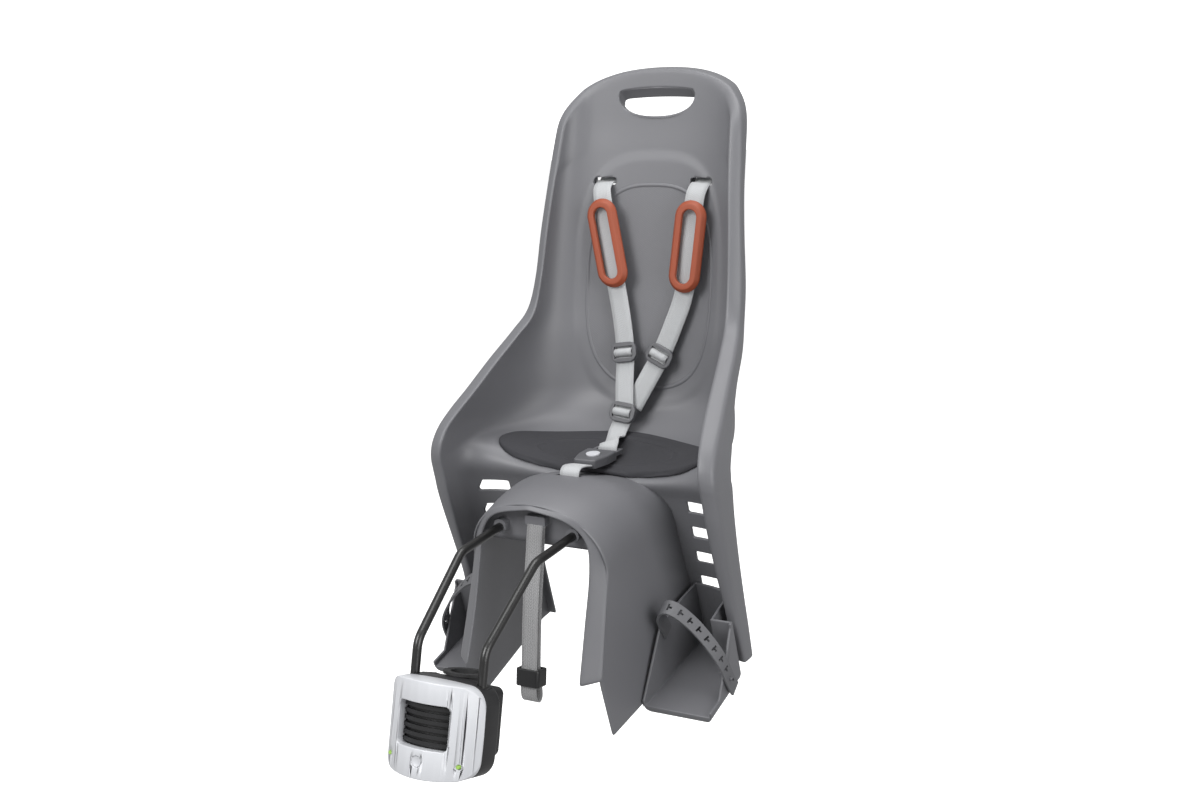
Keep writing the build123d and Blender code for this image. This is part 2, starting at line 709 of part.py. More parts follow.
def tube_liner(side):
    """Half of the rubber sleeve round the bicycle's tube, with a lip on top of the block."""
    top = BLOCK_TOP + BLOCK_BULGE / 2 + FIT
    sleeve = Pos(0, 0, -BLOCK_TOP) * Cylinder(LINER_R, BLOCK_TOP + top + LINER_LIP_T, align=LOW)
    sleeve += Pos(0, 0, top) * Cylinder(LINER_R + LINER_LIP, LINER_LIP_T, align=LOW)
    sleeve -= Cylinder(TUBE_R, 4 * BLOCK_H)
    return sleeve & (Pos(0, side * (FAR + CLAMP_GAP) / 2, 0) * Box(FAR, FAR, FAR))


def rear_yoke():
    yoke = extrude(at_depth(CLAMP_GAP / 2 + YOKE_T) * RectangleRounded(CLAMP_W, CLAMP_H, 8), YOKE_T)
    yoke = fillet(yoke.edges().group_by(Axis.Y)[-1], BODY_EDGE_R)
    yoke -= Cylinder(LINER_R + FIT / 2, 3 * BLOCK_H)
    rear = CLAMP_GAP / 2 + YOKE_T
    for x, z in bolt_places():
        yoke -= bore(x, z, FAR, BOLT_D / 2 + FIT, 2 * FAR)
        yoke -= bore(x, z, rear + FAR, BOLT_HEAD_D / 2 + FIT, FAR + BOLT_SUNK)
    return yoke


def clamp_bolts():
    """Four bolts that pull the yoke and the block together."""
    seat = CLAMP_GAP / 2 + YOKE_T - BOLT_SUNK
    top = seat + BOLT_HEAD_H
    bolts = []
    for x, z in bolt_places():
        shank = bore(x, z, seat, BOLT_D / 2, seat + BOLT_REACH - FIT)
        head = bore(x, z, top, BOLT_HEAD_D / 2, BOLT_HEAD_H)
        key = extrude(at_depth(top) * Pos(x, z) * RegularPolygon(BOLT_KEY_R, 6), BOLT_HEAD_H / 2)
        bolts.append(shank + head - key)
    return bolts


def ladder_plane(z):
    """Plane on the ladder wall's face: its z runs up the ladder and its y points back."""
    return Plane(origin=(0, ladder_y(z), z), x_dir=(1, 0, 0), z_dir=ladder_up)


def ladder_bow(x):
    """How far the ladder wall comes ahead of its straight face at a width, at most, over the footrest's travel."""
    top = FOOT_REST_Z + (FOOT_HIGH + FOOT_TRAVEL) * ladder_up.Z
    ahead = []
    for k in range(41):
        yc, z, xi, yi, *_, square = blend(SHELL_ROWS, 0.75 + 0.25 * k / 40)
        if z < top:
            turn = math.asin(min(x / xi, 1) ** (square / 2))
            ahead.append(ladder_y(z) - yc + (yc - yi) * (1 - math.cos(turn) ** (2 / square)))
    return max(ahead)


def foot_prism(side_view, plan):
    """What a side view (y, z) and a plan (x, y) have in common."""
    tall = Plane.YZ * make_face(Polyline(*side_view, close=True))
    return extrude(tall, FAR) & extrude(make_face(Polyline(*plan, close=True)), FAR, both=True)


def foot_inner(ahead):
    """Outer face of the footrest's inner wall, which follows the skirt."""
    back = skirt_x(ladder_y(FOOT_REST_Z), FOOT_REST_Z - 2 * FOOT_FLOOR) + 2 * FOOT_GAP
    return back + (FOOT_IN - back) * ahead / FOOT_LONG


def foot_plan(inset):
    """Footrest from above; behind the guard's edge it is narrower."""
    back = []
    for k in range(5):
        x = foot_inner(0) + inset + (FOOT_STEP - foot_inner(0) - 2 * inset) * k / 4
        back.append((x, -ladder_bow(x + inset + FOOT_GAP) - FOOT_GAP - inset))
    step = [(FOOT_STEP - inset, -RIM_CLEAR - inset), (FOOT_OUT - inset, -RIM_CLEAR - inset)]
    front = [(FOOT_OUT - inset, -FOOT_LONG), (FOOT_IN + inset, -FOOT_LONG)]
    if inset:
        front = [(FOOT_OUT - inset, -FAR), (FOOT_IN + inset, -FAR), *front[1:]]
    return [*back, *step, *front]


def footrest():
    """Scoop for the right foot, with the stud its strap buttons on."""
    low = -FOOT_FLOOR
    side_view = [
        (0, low), (0, FOOT_HIGH), (-FOOT_HIGH / 2, FOOT_HIGH), (-FOOT_SIDE_LONG, FOOT_SIDE_HIGH),
        (-FOOT_LONG, FOOT_FLOOR / 2), (-FOOT_LONG, low),
    ]
    scoop = foot_prism(side_view, foot_plan(0))
    edge = scoop.edges().filter_by(Axis.X).group_by(Axis.Z)[0].group_by(Axis.Y)[0]
    scoop = fillet(edge, FOOT_LIP_R)
    front_view = RectangleRounded(FOOT_OUT - FOOT_IN, 2 * FOOT_LONG, FOOT_CORNER_R)
    scoop &= extrude(Plane.XZ * Pos((FOOT_OUT + FOOT_IN) / 2, low + FOOT_LONG) * front_view, FAR, both=True)
    scoop -= extrude(make_face(Polyline(*foot_plan(FOOT_WALL), close=True)), FAR)
    falls = [(-RIM_CLEAR - FOOT_WALL * 2, FOOT_OUTER_HIGH), (-FOOT_LONG + FOOT_FLOOR * 2, FOOT_FLOOR / 2)]
    past = -FOOT_LONG - FOOT_FLOOR
    above = [*falls, (past, FOOT_FLOOR / 2), (past, FAR), (falls[0][0], FAR)]
    cut = extrude(Plane.YZ * make_face(Polyline(*above, close=True)), FAR)
    scoop -= Pos(FOOT_STEP - FOOT_WALL, 0, 0) * cut
    stud = Plane(origin=(FOOT_OUT, -FOOT_STRAP_ROUTE[-2][1], FOOT_STRAP_ROUTE[-2][2]), z_dir=(1, 0, 0))
    scoop += stud * Cylinder(FOOT_STUD_D / 2, FOOT_STUD_L, align=LOW)
    return ladder_plane(FOOT_REST_Z) * scoop


# Route of the right foot strap: across, ahead of the ladder, up the ladder
STRAP_FOOT_X = foot_inner(80) + FOOT_WALL + FOOT_STRAP_T + FOOT_GAP
FOOT_STRAP_ROUTE = [
    (STRAP_FOOT_X + 0.6, 80, FOOT_SIDE_HIGH - 16), (STRAP_FOOT_X, 86, FOOT_SIDE_HIGH + 3),
    (STRAP_FOOT_X + 3, 92, FOOT_SIDE_HIGH + 20), (STRAP_FOOT_X + 14, 95, FOOT_SIDE_HIGH + 31), (149, 96, 95),
    (FOOT_STEP + 7, 99, 71), (FOOT_OUT - 1, 101, 43), (FOOT_OUT + 2, 98, 20), (FOOT_OUT + 2.4, 90, 0),
]


def frames_along(points, facing):
    """Directions along a line of points, across it and out of it."""
    result = []
    for k in range(len(points)):
        along = (Vector(*points[min(k + 1, len(points) - 1)]) - Vector(*points[max(k - 1, 0)])).normalized()
        across = along.cross(Vector(*facing)).normalized()
        result.append((along, across, across.cross(along)))
    return result


def foot_strap():
    """Rubber strap over the right foot, with its row of T-shaped holes."""
    place = ladder_plane(FOOT_REST_Z)
    centres = [place.from_local_coords(Vector(x, -ahead, up)) for x, ahead, up in FOOT_STRAP_ROUTE]
    wide = (place.y_dir * 0.93 + ladder_up * 0.37) * FOOT_STRAP_W
    points = [tuple(c) for c in centres]
    strap = ribbon(points, [tuple(wide)] * len(points), FOOT_STRAP_T)
    line = Edge.make_spline(centres)
    holes = []
    for k in range(FOOT_HOLES):
        share = 0.3 + 0.5 * k / (FOOT_HOLES - 1)
        along = line % share
        hole = Plane(origin=line @ share, x_dir=along, z_dir=along.cross(wide))
        holes.append(hole * Box(2.4, FOOT_STRAP_W * 0.45, 4 * FOOT_STRAP_T))
        holes.append(hole * Pos(2.4, 0, 0) * Box(4.8, 2.6, 4 * FOOT_STRAP_T))
    stud = Plane(origin=centres[-2] - Vector(FOOT_STUD_L, 0, 0), z_dir=(1, 0, 0))
    holes.append(stud * Cylinder(FOOT_STUD_D / 2 + FIT, 3 * FOOT_STUD_L, align=LOW))
    return strap.cut(*holes)


def pan_top(x, y):
    """Height of the seating face at a place."""
    low = 10 / (len(SHELL_ROWS) - 1)
    high = 17 / (len(SHELL_ROWS) - 1)
    for _ in range(40):
        share = (low + high) / 2
        yc, zc, xi, yi, zi, *_, square = blend(SHELL_ROWS, share)
        sideways = min(abs(x) / xi, 1)
        ahead = 1 - math.sqrt(1 - sideways**square) ** (2 / square)
        if yc + (yi - yc) * ahead > y:
            low = share
        else:
            high = share
    pan = zc + (zi - zc) * ahead + pan_lift(share) * sideways**2 * (1 - ahead)
    return max(pan, nose_top(x, y))


def nose_top(x, y):
    """Height of the nose at a place."""
    low = 0.0
    high = 1.0
    for _ in range(40):
        share = (low + high) / 2
        if blend(NOSE_ROWS, share)[0] < y:
            low = share
        else:
            high = share
    _, middle, square = blend(NOSE_ROWS, low)
    sideways = min(abs(x) / skirt_x(y, SKIRT_TOP_Z), 1)
    return middle + (SKIRT_TOP_Z - middle) * (1 - math.sqrt(1 - sideways**square) ** (2 / square))


def pad_lift(x, y, thickness):
    """How far straight up a face lies that is some thickness out from the pan."""
    step = 1.0
    rise_x = pan_top(x + step, y) - pan_top(x - step, y)
    rise_y = pan_top(x, y + step) - pan_top(x, y - step)
    return thickness * math.sqrt(1 + (rise_x**2 + rise_y**2) / (4 * step**2))


def seat_pad():
    """Foam pad that lies on the pan."""
    xs = [x for x, y in PAD_OUTLINE]
    ys = [y for x, y in PAD_OUTLINE]
    reach = max(xs) + WALL
    front = min(ys) - WALL
    back = max(ys) + WALL
    wires = []
    for i in range(25):
        y = front + (back - front) * i / 24
        low = []
        high = []
        for j in range(31):
            x = reach * (j / 15 - 1)
            z = pan_top(x, y)
            low.append(Vector(x, y, z + pad_lift(x, y, PAD_LIFT)))
            high.append(Vector(x, y, z + pad_lift(x, y, PAD_LIFT + PAD_T)))
        wires.append(Wire.make_polygon(low + high[::-1], close=True))
    left = [(-x, y) for x, y in PAD_OUTLINE[-2:0:-1]]
    plan = make_face(Spline(*PAD_OUTLINE, *left, periodic=True))
    return Solid.make_loft(wires, ruled=True) & extrude(plan, FAR)


def pad_top(x, y, above=0.0):
    """A point over the seat pad's upper face."""
    return (x, y, pan_top(x, y) + pad_lift(x, y, PAD_LIFT + PAD_T) + above)


def webbing(points, facing, width):
    """A strap along points whose face looks one way."""
    across = [tuple(a * width) for _, a, _ in frames_along(points, facing)]
    return ribbon(points, across, WEBBING_T)


# Middles of the two shoulder straps from the slots down to where they meet, (x, y, z)
STRAP_RIGHT = [
    (67, 500.5, 521), (67, 500, 511), (67, 494, 505), (67, 484, 503.5), (66, 474, 496), (64, 468, 480),
    (60, 458, 430), (54, 451, 375), (40, 444.5, 334), (24, 438, 297), (7, 425, 262), (-6, 415, 236),
]
STRAP_LEFT = [
    (-67, 500.5, 521), (-67, 500, 511), (-67, 494, 505), (-67, 484, 503.5), (-66, 474, 496), (-62, 468, 480),
    (-53, 460, 431), (-39, 450, 376), (-30, 443, 336), (-24, 435.5, 299), (-19, 420, 262), (-14, 408, 236),
]
STRAP_FACE = (0, -1, 0.15)
LAP_FACE = (0, -0.75, 0.65)


def harness_strap(route):
    return webbing(route, STRAP_FACE, WEBBING_W)


def strap_plane(route, index, proud):
    """Plane in front of a strap at one of its points: x across, y along it upwards."""
    along, across, out = frames_along(route, STRAP_FACE)[index]
    return Plane(origin=Vector(*route[index]) + out * proud, x_dir=across, z_dir=out)


def shoulder_pad(route, sag):
    """Ring pad in front of a shoulder strap, as far out as the strap bows."""
    outer = SlotOverall(SHOULDER_PAD_L, SHOULDER_PAD_W)
    inner = SlotOverall(SHOULDER_PAD_L - 2 * SHOULDER_PAD_RING, SHOULDER_PAD_W - 2 * SHOULDER_PAD_RING)
    ring = Rot(0, 0, 90) * extrude(outer - inner, SHOULDER_PAD_T)
    ring = fillet(ring.edges().group_by(Axis.Z)[-1], SHOULDER_PAD_RING * 0.35)
    return strap_plane(route, 6, FIT + sag) * ring


def glide_plate():
    """Slide with two slots, lying flat."""
    plate = extrude(RectangleRounded(GLIDE_W, GLIDE_H, GLIDE_H * 0.4), GLIDE_T)
    plate = fillet(plate.edges().group_by(Axis.Z)[-1], GLIDE_T * 0.3)
    slots = [Pos(0, up * GLIDE_H * 0.2) * Box(WEBBING_W + 1, GLIDE_SLOT, 4 * GLIDE_T) for up in (1, -1)]
    return plate.cut(*slots)


def glide(route, index):
    return strap_plane(route, index, FIT + SLIDE_BOW) * glide_plate()


def buckle_z():
    """Underside of the buckle, just above the pad."""
    return max(pad_top(x, y)[2] for x in (0, BUCKLE_W / 2) for y in (BUCKLE_FRONT_Y, BUCKLE_BACK_Y)) + FIT


def buckle_plan(back, front, wide, narrow):
    """Buckle from above: straight sides that draw in towards the front."""
    half = wide / 2
    tail = narrow / 2
    right = [(half, back), (half, (back + front) / 2), (tail, front)]
    face = make_face(Polyline(*right, *[(-x, y) for x, y in right[::-1]], close=True))
    return fillet(face.vertices(), narrow * 0.14)


def buckle_body():
    plan = buckle_plan(BUCKLE_BACK_Y, BUCKLE_FRONT_Y, BUCKLE_W, BUCKLE_TAIL_W)
    body = Pos(0, 0, buckle_z()) * extrude(plan, BUCKLE_T)
    body = fillet(body.edges().group_by(Axis.Z)[-1], BUCKLE_T * 0.2)
    middle = (BUCKLE_BACK_Y + BUCKLE_FRONT_Y) / 2
    top = buckle_z() + BUCKLE_T
    well = BUCKLE_BUTTON_TRAVEL + BUCKLE_BUTTON_UP + 2 * FIT
    body -= Pos(0, middle, top - well) * Cylinder(BUCKLE_BUTTON_D / 2 + FIT, BUCKLE_T, align=LOW)
    level = buckle_z() + BUCKLE_T / 2
    mouth = cutter(0, BUCKLE_BACK_Y, level, BUCKLE_TAIL_W + 2 * FIT, 2 * TONGUE_L, TONGUE_T + 2 * FIT)
    return body - (mouth & cutter(0, middle, top, FAR, BUCKLE_BACK_Y - BUCKLE_FRONT_Y, FAR))


def buckle_button():
    middle = (BUCKLE_BACK_Y + BUCKLE_FRONT_Y) / 2
    top = buckle_z() + BUCKLE_T
    button = Pos(0, middle, top - FIT) * Cylinder(BUCKLE_BUTTON_D / 2, BUCKLE_BUTTON_UP + FIT, align=LOW)
    return fillet(button.edges().group_by(Axis.Z)[-1], BUCKLE_BUTTON_UP * 0.4)


def buckle_tongue():
    """Tongue in the buckle's mouth with the loop that carries the shoulder straps."""
    level = buckle_z() + BUCKLE_T / 2
    inside = BUCKLE_BACK_Y - TONGUE_L + 2 * FIT
    outside = BUCKLE_BACK_Y + TONGUE_L
    deep = BUCKLE_BACK_Y - inside + 2 * FIT
    blade = cutter(0, (inside + BUCKLE_BACK_Y) / 2, level, BUCKLE_TAIL_W, deep, TONGUE_T)
    frame = Pos(0, (BUCKLE_BACK_Y + FIT + outside) / 2, level) * Box(BUCKLE_W - 4, TONGUE_L - FIT, TONGUE_T)
    eye = Pos(0, outside - TONGUE_L * 0.4, level) * Box(WEBBING_W + 2, TONGUE_L * 0.42, FAR)
    return blade + frame - eye


def lap_route():
    """Middle of the doubled strap from where the shoulder straps meet down to the tongue."""
    level = buckle_z() + BUCKLE_T / 2
    eye = BUCKLE_BACK_Y + TONGUE_L * 0.6
    over = level + TONGUE_T / 2
    return [
        (-10, 404.5, 240), (-11, 402, 231), (-12, 397, 222), pad_top(-13, 387, 6.5), pad_top(-10, 374, 5.5),
        (-4, eye + 14, over + 7), (-1, eye + 6, over + 4.6), (0, eye + 1.2, over + 2.6),
        (0, eye - 0.4, level - TONGUE_T * 0.4),
    ]


def lap_strap():
    return webbing(lap_route(), LAP_FACE, WEBBING_W)


def lower_slide():
    """Slide where the shoulder straps meet."""
    along, across, out = frames_along(lap_route(), LAP_FACE)[1]
    place = Plane(origin=Vector(*lap_route()[1]) + out * (FIT + 3 * SLIDE_BOW), x_dir=across, z_dir=out)
    return place * glide_plate()


def crotch_plate_z():
    """Underside of the plate below the nose."""
    edge = [nose_top(ANCHOR_W / 2, CROTCH_SLOT_Y + end * ANCHOR_H / 2) for end in (1, -1)]
    return min(edge) - WALL - 2 * FIT - ANCHOR_T


def crotch_strap():
    """Strap from the slot in the nose back to the buckle's front end."""
    top = nose_top(0, CROTCH_SLOT_Y)
    level = buckle_z() + BUCKLE_T / 2
    under = crotch_plate_z() - FIT
    points = [
        (CROTCH_SLOT_Y + 14, under - 0.4), (CROTCH_SLOT_Y + 5, under - 0.2), (CROTCH_SLOT_Y, under + 5),
        (CROTCH_SLOT_Y - 0.5, top - WALL), (CROTCH_SLOT_Y + 1.5, top + 4), (CROTCH_SLOT_Y + 8, top + 8),
        (CROTCH_SLOT_Y + 20, level + 3), (BUCKLE_FRONT_Y - WEBBING_T, level),
    ]
    return ribbon([(0, y, z) for y, z in points], [(-WEBBING_W, 0, 0)] * len(points), WEBBING_T)


def anchor_plate():
    """Plate with a slot for a strap, lying flat."""
    plate = extrude(RectangleRounded(ANCHOR_W, ANCHOR_H, 4), ANCHOR_T)
    return plate - Box(WEBBING_W + 3, 7 * WEBBING_T, 4 * ANCHOR_T)


def harness_anchor():
    """Plate behind the back that the right shoulder strap hangs on."""
    near = on_back(HARNESS_SLOT_X - ANCHOR_W / 2, HARNESS_SLOT_Z)
    far = on_back(HARNESS_SLOT_X + ANCHOR_W / 2, HARNESS_SLOT_Z)
    middle = on_back(HARNESS_SLOT_X, HARNESS_SLOT_Z)
    start = middle + back_normal * (WALL + ANCHOR_GAP)
    return Plane(origin=start, x_dir=near - far, z_dir=back_up.cross(far - near)) * anchor_plate()


def crotch_anchor():
    """Plate under the nose that the crotch strap hangs on."""
    return Pos(0, CROTCH_SLOT_Y, crotch_plate_z()) * anchor_plate()


# Safety strap in side view (y, z): front layer down, loop, rear layer up
SAFETY_ROUTE = [
    (187, 169), (178, 168), (169.5, 161), (160, 122), (148, 72), (136, 2), (131.5, -20), (132, -31),
    (137, -36), (142, -32), (142.5, -20), (142, 2), (153.5, 72), (164, 118), (170, 150), (174.5, 162),
    (187, 164.5),
]


def safety_strap():
    """Doubled strap that hangs from the nose and goes round the bicycle's tube."""
    points = [(0, y, z) for y, z in SAFETY_ROUTE]
    return ribbon(points, [(SAFETY_W, 0, 0)] * len(points), WEBBING_T)


def safety_slider():
    """Slider that holds both layers of the safety strap."""
    front = Vector(0, *SAFETY_ROUTE[5])
    back = Vector(0, *SAFETY_ROUTE[11])
    along = Vector(0, *SAFETY_ROUTE[4]) - front
    place = Plane(origin=(front + back) * 0.5 - Vector(0, 0.5, SLIDER_H / 2), x_dir=(1, 0, 0), z_dir=along)
    deep = (back - front).length + 6 * WEBBING_T
    ring = RectangleRounded(SLIDER_W, deep + 2 * SLIDER_WALL, 4) - Rectangle(SAFETY_W + 2, deep)
    return place * extrude(ring, SLIDER_H / 2, both=True)


def block_save(name, shape):
    """Write a piece of the clamp block, which stands along the leaning tube."""
    save(name, block_plane * shape)


save("seat_shell", shell())
save("support_bar", bar(ROD_R))
save("bar_clamp_plate", rod_clamp())
save_group("bar_clamp_screws", rod_screws(SCREW_D, SCREW_HEAD_D))
block_save("block_body", block_body())
block_save("block_cover", block_cover())
block_save("ribbed_panel", ribbed_panel())
block_save("release_button", release_button())
block_save("lock_plate", lock_plate())
block_save("release_spring", release_spring())
block_save("indicator_right", indicator(1))
block_save("indicator_left", indicator(-1))
save_group("indicator_springs", [block_plane * indicator_spring(side) for side in (1, -1)])
block_save("tube_liner_front", tube_liner(-1))
block_save("tube_liner_rear", tube_liner(1))
block_save("rear_yoke", rear_yoke())
save_group("clamp_bolts", [block_plane * bolt for bolt in clamp_bolts()])
save("seat_pad", seat_pad())
save("shoulder_strap_right", harness_strap(STRAP_RIGHT))
save("shoulder_strap_left", harness_strap(STRAP_LEFT))
save("shoulder_pad_right", shoulder_pad(STRAP_RIGHT, STRAP_BOW_RIGHT))
save("shoulder_pad_left", shoulder_pad(STRAP_LEFT, STRAP_BOW_LEFT))
save("strap_slide_right", glide(STRAP_RIGHT, 9))
save("strap_slide_left", glide(STRAP_LEFT, 9))
save("lap_strap", lap_strap())
save("strap_slide_lower", lower_slide())
save("buckle_body", buckle_body())
save("buckle_button", buckle_button())
save("buckle_tongue", buckle_tongue())
save("crotch_strap", crotch_strap())
save_pair("harness_anchor", harness_anchor())
save("crotch_anchor", crotch_anchor())
save("safety_strap", safety_strap())
save("safety_slider", safety_slider())
save_pair("footrest", footrest())
save_pair("foot_strap", foot_strap())
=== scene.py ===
# %% [markdown]
# # A child bike seat
# The seat hangs behind the rider on a bent bar that plugs into a clamp block on the bicycle's tube.
# The solid model comes first and gives every piece its place. This lesson then gives the seat its looks:
# a smooth moulded shell, woven straps, a soft pad and the finishes of the plastic, rubber and steel.

# %% Load the solid model
import bpy
import bmesh
import json
import math
from mathutils import Vector, Matrix

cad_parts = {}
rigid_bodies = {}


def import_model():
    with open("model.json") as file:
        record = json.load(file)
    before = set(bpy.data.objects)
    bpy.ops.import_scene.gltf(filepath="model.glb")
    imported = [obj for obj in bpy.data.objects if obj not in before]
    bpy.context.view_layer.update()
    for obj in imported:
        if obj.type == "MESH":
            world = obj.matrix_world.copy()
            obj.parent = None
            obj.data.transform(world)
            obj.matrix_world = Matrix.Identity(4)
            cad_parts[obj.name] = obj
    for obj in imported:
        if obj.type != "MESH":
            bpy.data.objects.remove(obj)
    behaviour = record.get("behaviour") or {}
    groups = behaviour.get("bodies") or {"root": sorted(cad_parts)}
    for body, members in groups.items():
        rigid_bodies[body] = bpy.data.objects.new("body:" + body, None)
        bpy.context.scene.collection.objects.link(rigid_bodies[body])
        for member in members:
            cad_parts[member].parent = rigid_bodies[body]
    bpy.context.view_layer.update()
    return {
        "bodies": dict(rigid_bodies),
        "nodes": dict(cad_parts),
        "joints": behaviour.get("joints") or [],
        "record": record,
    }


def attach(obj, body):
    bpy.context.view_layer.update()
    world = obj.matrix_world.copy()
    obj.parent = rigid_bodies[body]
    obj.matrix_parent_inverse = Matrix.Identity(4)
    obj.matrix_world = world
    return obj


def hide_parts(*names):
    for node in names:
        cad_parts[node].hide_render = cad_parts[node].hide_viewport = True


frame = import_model()
nodes = frame["nodes"]
MM = 0.001
print("pieces in the solid model:", len(nodes))

# %% [markdown]
# ## Camera and studio
# A product photo on white has a long lens, a pale floor and large soft lights. The camera's own three axes
# are set directly, because the photo was taken with the camera a little rolled. The floor lies well below the
# seat, since the seat hangs from the bicycle and never stands on the ground.

# %% Camera, floor and lights
CAMERA_AT = (0.9404, -1.2571, 0.7369)
CAMERA_RIGHT = (0.866, 0.4965, -0.0593)
CAMERA_UP = (-0.0733, 0.2434, 0.9672)
CAMERA_BACK = (0.4946, -0.8332, 0.2472)
LENS_MM = 48.17
FLOOR_Z = -0.42

scene = bpy.context.scene
scene.view_settings.view_transform = "Standard"
camera_data = bpy.data.cameras.new("camera")
camera_data.sensor_fit = "HORIZONTAL"
camera_data.sensor_width = 36.0
camera_data.lens = LENS_MM
camera = bpy.data.objects.new("camera", camera_data)
scene.collection.objects.link(camera)
turn = Matrix((CAMERA_RIGHT, CAMERA_UP, CAMERA_BACK)).transposed().to_4x4()
camera.matrix_world = Matrix.Translation(CAMERA_AT) @ turn
scene.camera = camera


def lamp(name, at, aim, size, power):
    """A square soft light at one point that looks at another."""
    data = bpy.data.lights.new(name, "AREA")
    data.size = size
    data.energy = power
    light = bpy.data.objects.new(name, data)
    scene.collection.objects.link(light)
    look = Vector(aim) - Vector(at)
    light.matrix_world = Matrix.Translation(at) @ look.to_track_quat("-Z", "Y").to_matrix().to_4x4()
    return light


SEAT_MIDDLE = (0.0, 0.28, 0.28)
lamp("key_light", (-0.7, -1.9, 2.0), SEAT_MIDDLE, 1.4, 58.0)
lamp("side_light", (2.3, -0.7, 0.9), SEAT_MIDDLE, 1.5, 34.0)
lamp("top_light", (0.1, 0.3, 2.4), SEAT_MIDDLE, 1.6, 34.0)
world = bpy.data.worlds.new("studio")
world.use_nodes = True
world.node_tree.nodes["Background"].inputs["Color"].default_value = (1.0, 1.0, 1.0, 1.0)
world.node_tree.nodes["Background"].inputs["Strength"].default_value = 0.5
scene.world = world
print("camera", [round(v, 3) for v in CAMERA_AT])

# %% [markdown]
# ## Writing materials as sums
# A material is a net of nodes. Wiring nodes one at a time is slow to read, so one small class wraps a value
# and lets it be added, multiplied and compared in plain Python. Each sign adds one Math node.
# A second class holds a material's tree and adds any other node by its type.


# %% Values and finishes
class Value:
    """A number or colour inside a finish; sums on it add Math nodes."""

    def __init__(self, finish, socket):
        self.finish = finish
        self.socket = socket

    def sum(self, operation, first, second):
        return self.finish.add("ShaderNodeMath", {"operation": operation}, {0: first, 1: second})

    def __add__(self, other):
        return self.sum("ADD", self, other)

    __radd__ = __add__

    def __mul__(self, other):
        return self.sum("MULTIPLY", self, other)

    __rmul__ = __mul__

    def __sub__(self, other):
        return self.sum("SUBTRACT", self, other)

    def __rsub__(self, other):
        return self.sum("SUBTRACT", other, self)

    def __truediv__(self, other):
        return self.sum("DIVIDE", self, other)

    def __pow__(self, other):
        return self.sum("POWER", self, other)

    def __lt__(self, other):
        return self.sum("LESS_THAN", self, other)

    def __gt__(self, other):
        return self.sum("GREATER_THAN", self, other)


class Finish:
    """One material with a main shader and the nodes that feed it."""

    def __init__(self, name, **fixed):
        self.material = bpy.data.materials.new(name)
        self.material.use_nodes = True
        self.tree = self.material.node_tree
        self.shader = self.tree.nodes["Principled BSDF"]
        for key, value in fixed.items():
            self.shader.inputs[key.replace("_", " ")].default_value = value

    def add(self, kind, settings=None, inputs=None, out=0):
        node = self.tree.nodes.new(kind)
        for key, value in (settings or {}).items():
            setattr(node, key, value)
        for key, value in (inputs or {}).items():
            self.feed(node.inputs[key], value)
        return Value(self, node.outputs[out])

    def feed(self, socket, value):
        if isinstance(value, Value):
            self.tree.links.new(value.socket, socket)
        else:
            socket.default_value = value

    def set(self, name, value):
        self.feed(self.shader.inputs[name], value)

    def place(self, kind="Object"):
        node = self.tree.nodes.new("ShaderNodeTexCoord")
        return Value(self, node.outputs[kind])

    def noise(self, where, scale, detail=2.0):
        return self.add("ShaderNodeTexNoise", None, {"Vector": where, "Scale": scale, "Detail": detail})

    def axes(self, where):
        node = self.tree.nodes.new("ShaderNodeSeparateXYZ")
        self.tree.links.new(where.socket, node.inputs[0])
        return [Value(self, output) for output in node.outputs]

    def mix(self, share, first, second):
        inputs = {"Factor": share, 6: first, 7: second}
        return self.add("ShaderNodeMix", {"data_type": "RGBA"}, inputs, out=2)

    def bump(self, height, strength, distance):
        inputs = {"Height": height, "Strength": strength, "Distance": distance}
        self.set("Normal", self.add("ShaderNodeBump", None, inputs))


def shade(colour, factor):
    """A colour made lighter or darker, as a node wants it."""
    return (*[channel * factor for channel in colour], 1.0)


# %% [markdown]
# ## Moulded plastic
# The shell and the footrests come out of a steel mould that was etched with a fine grain. Up close that is a
# bump of half a millimetre; from afar it only softens the gloss. The colour varies a little, as recycled
# plastic does, so a wide noise moves it by a few percent. Inside an oval on the back the mould has a fine
# slanted rib instead, drawn from the shell's own X and Z.

# %% Plastic finishes
def moulded(name, colour, roughness, grain=0.12, speckle=0.05, **fixed):
    """Moulded plastic with an etched grain and a slight drift of colour."""
    finish = Finish(name, **fixed)
    where = finish.place()
    drift = finish.noise(where, 9.0)
    fine = finish.noise(where, 1500.0, 3.0)
    finish.set("Base Color", finish.mix(drift, shade(colour, 1 - speckle), shade(colour, 1 + speckle)))
    finish.set("Roughness", roughness + 0.08 * (drift - 0.5) + 0.06 * (fine - 0.5))
    finish.height = fine
    finish.where = where
    finish.bump(fine, grain, 0.0004)
    return finish


SHELL_GREY = (0.132, 0.133, 0.143)
OVAL_MIDDLE_Z = 0.377
OVAL_HALF_W = 0.086
OVAL_HALF_H = 0.123
OVAL_SQUARE = 2.8
OVAL_IN_FRONT_OF = 0.42
RIB_APART = 0.0021
shell_plastic = moulded("shell_plastic", SHELL_GREY, 0.46)
ribbed_back = moulded("ribbed_back", SHELL_GREY, 0.46)
x, y, z = ribbed_back.axes(ribbed_back.where)


def size_of(value):
    return ribbed_back.add("ShaderNodeMath", {"operation": "ABSOLUTE"}, {0: value})


def wave(value):
    return ribbed_back.add("ShaderNodeMath", {"operation": "SINE"}, {0: value * (2 * math.pi / RIB_APART)})


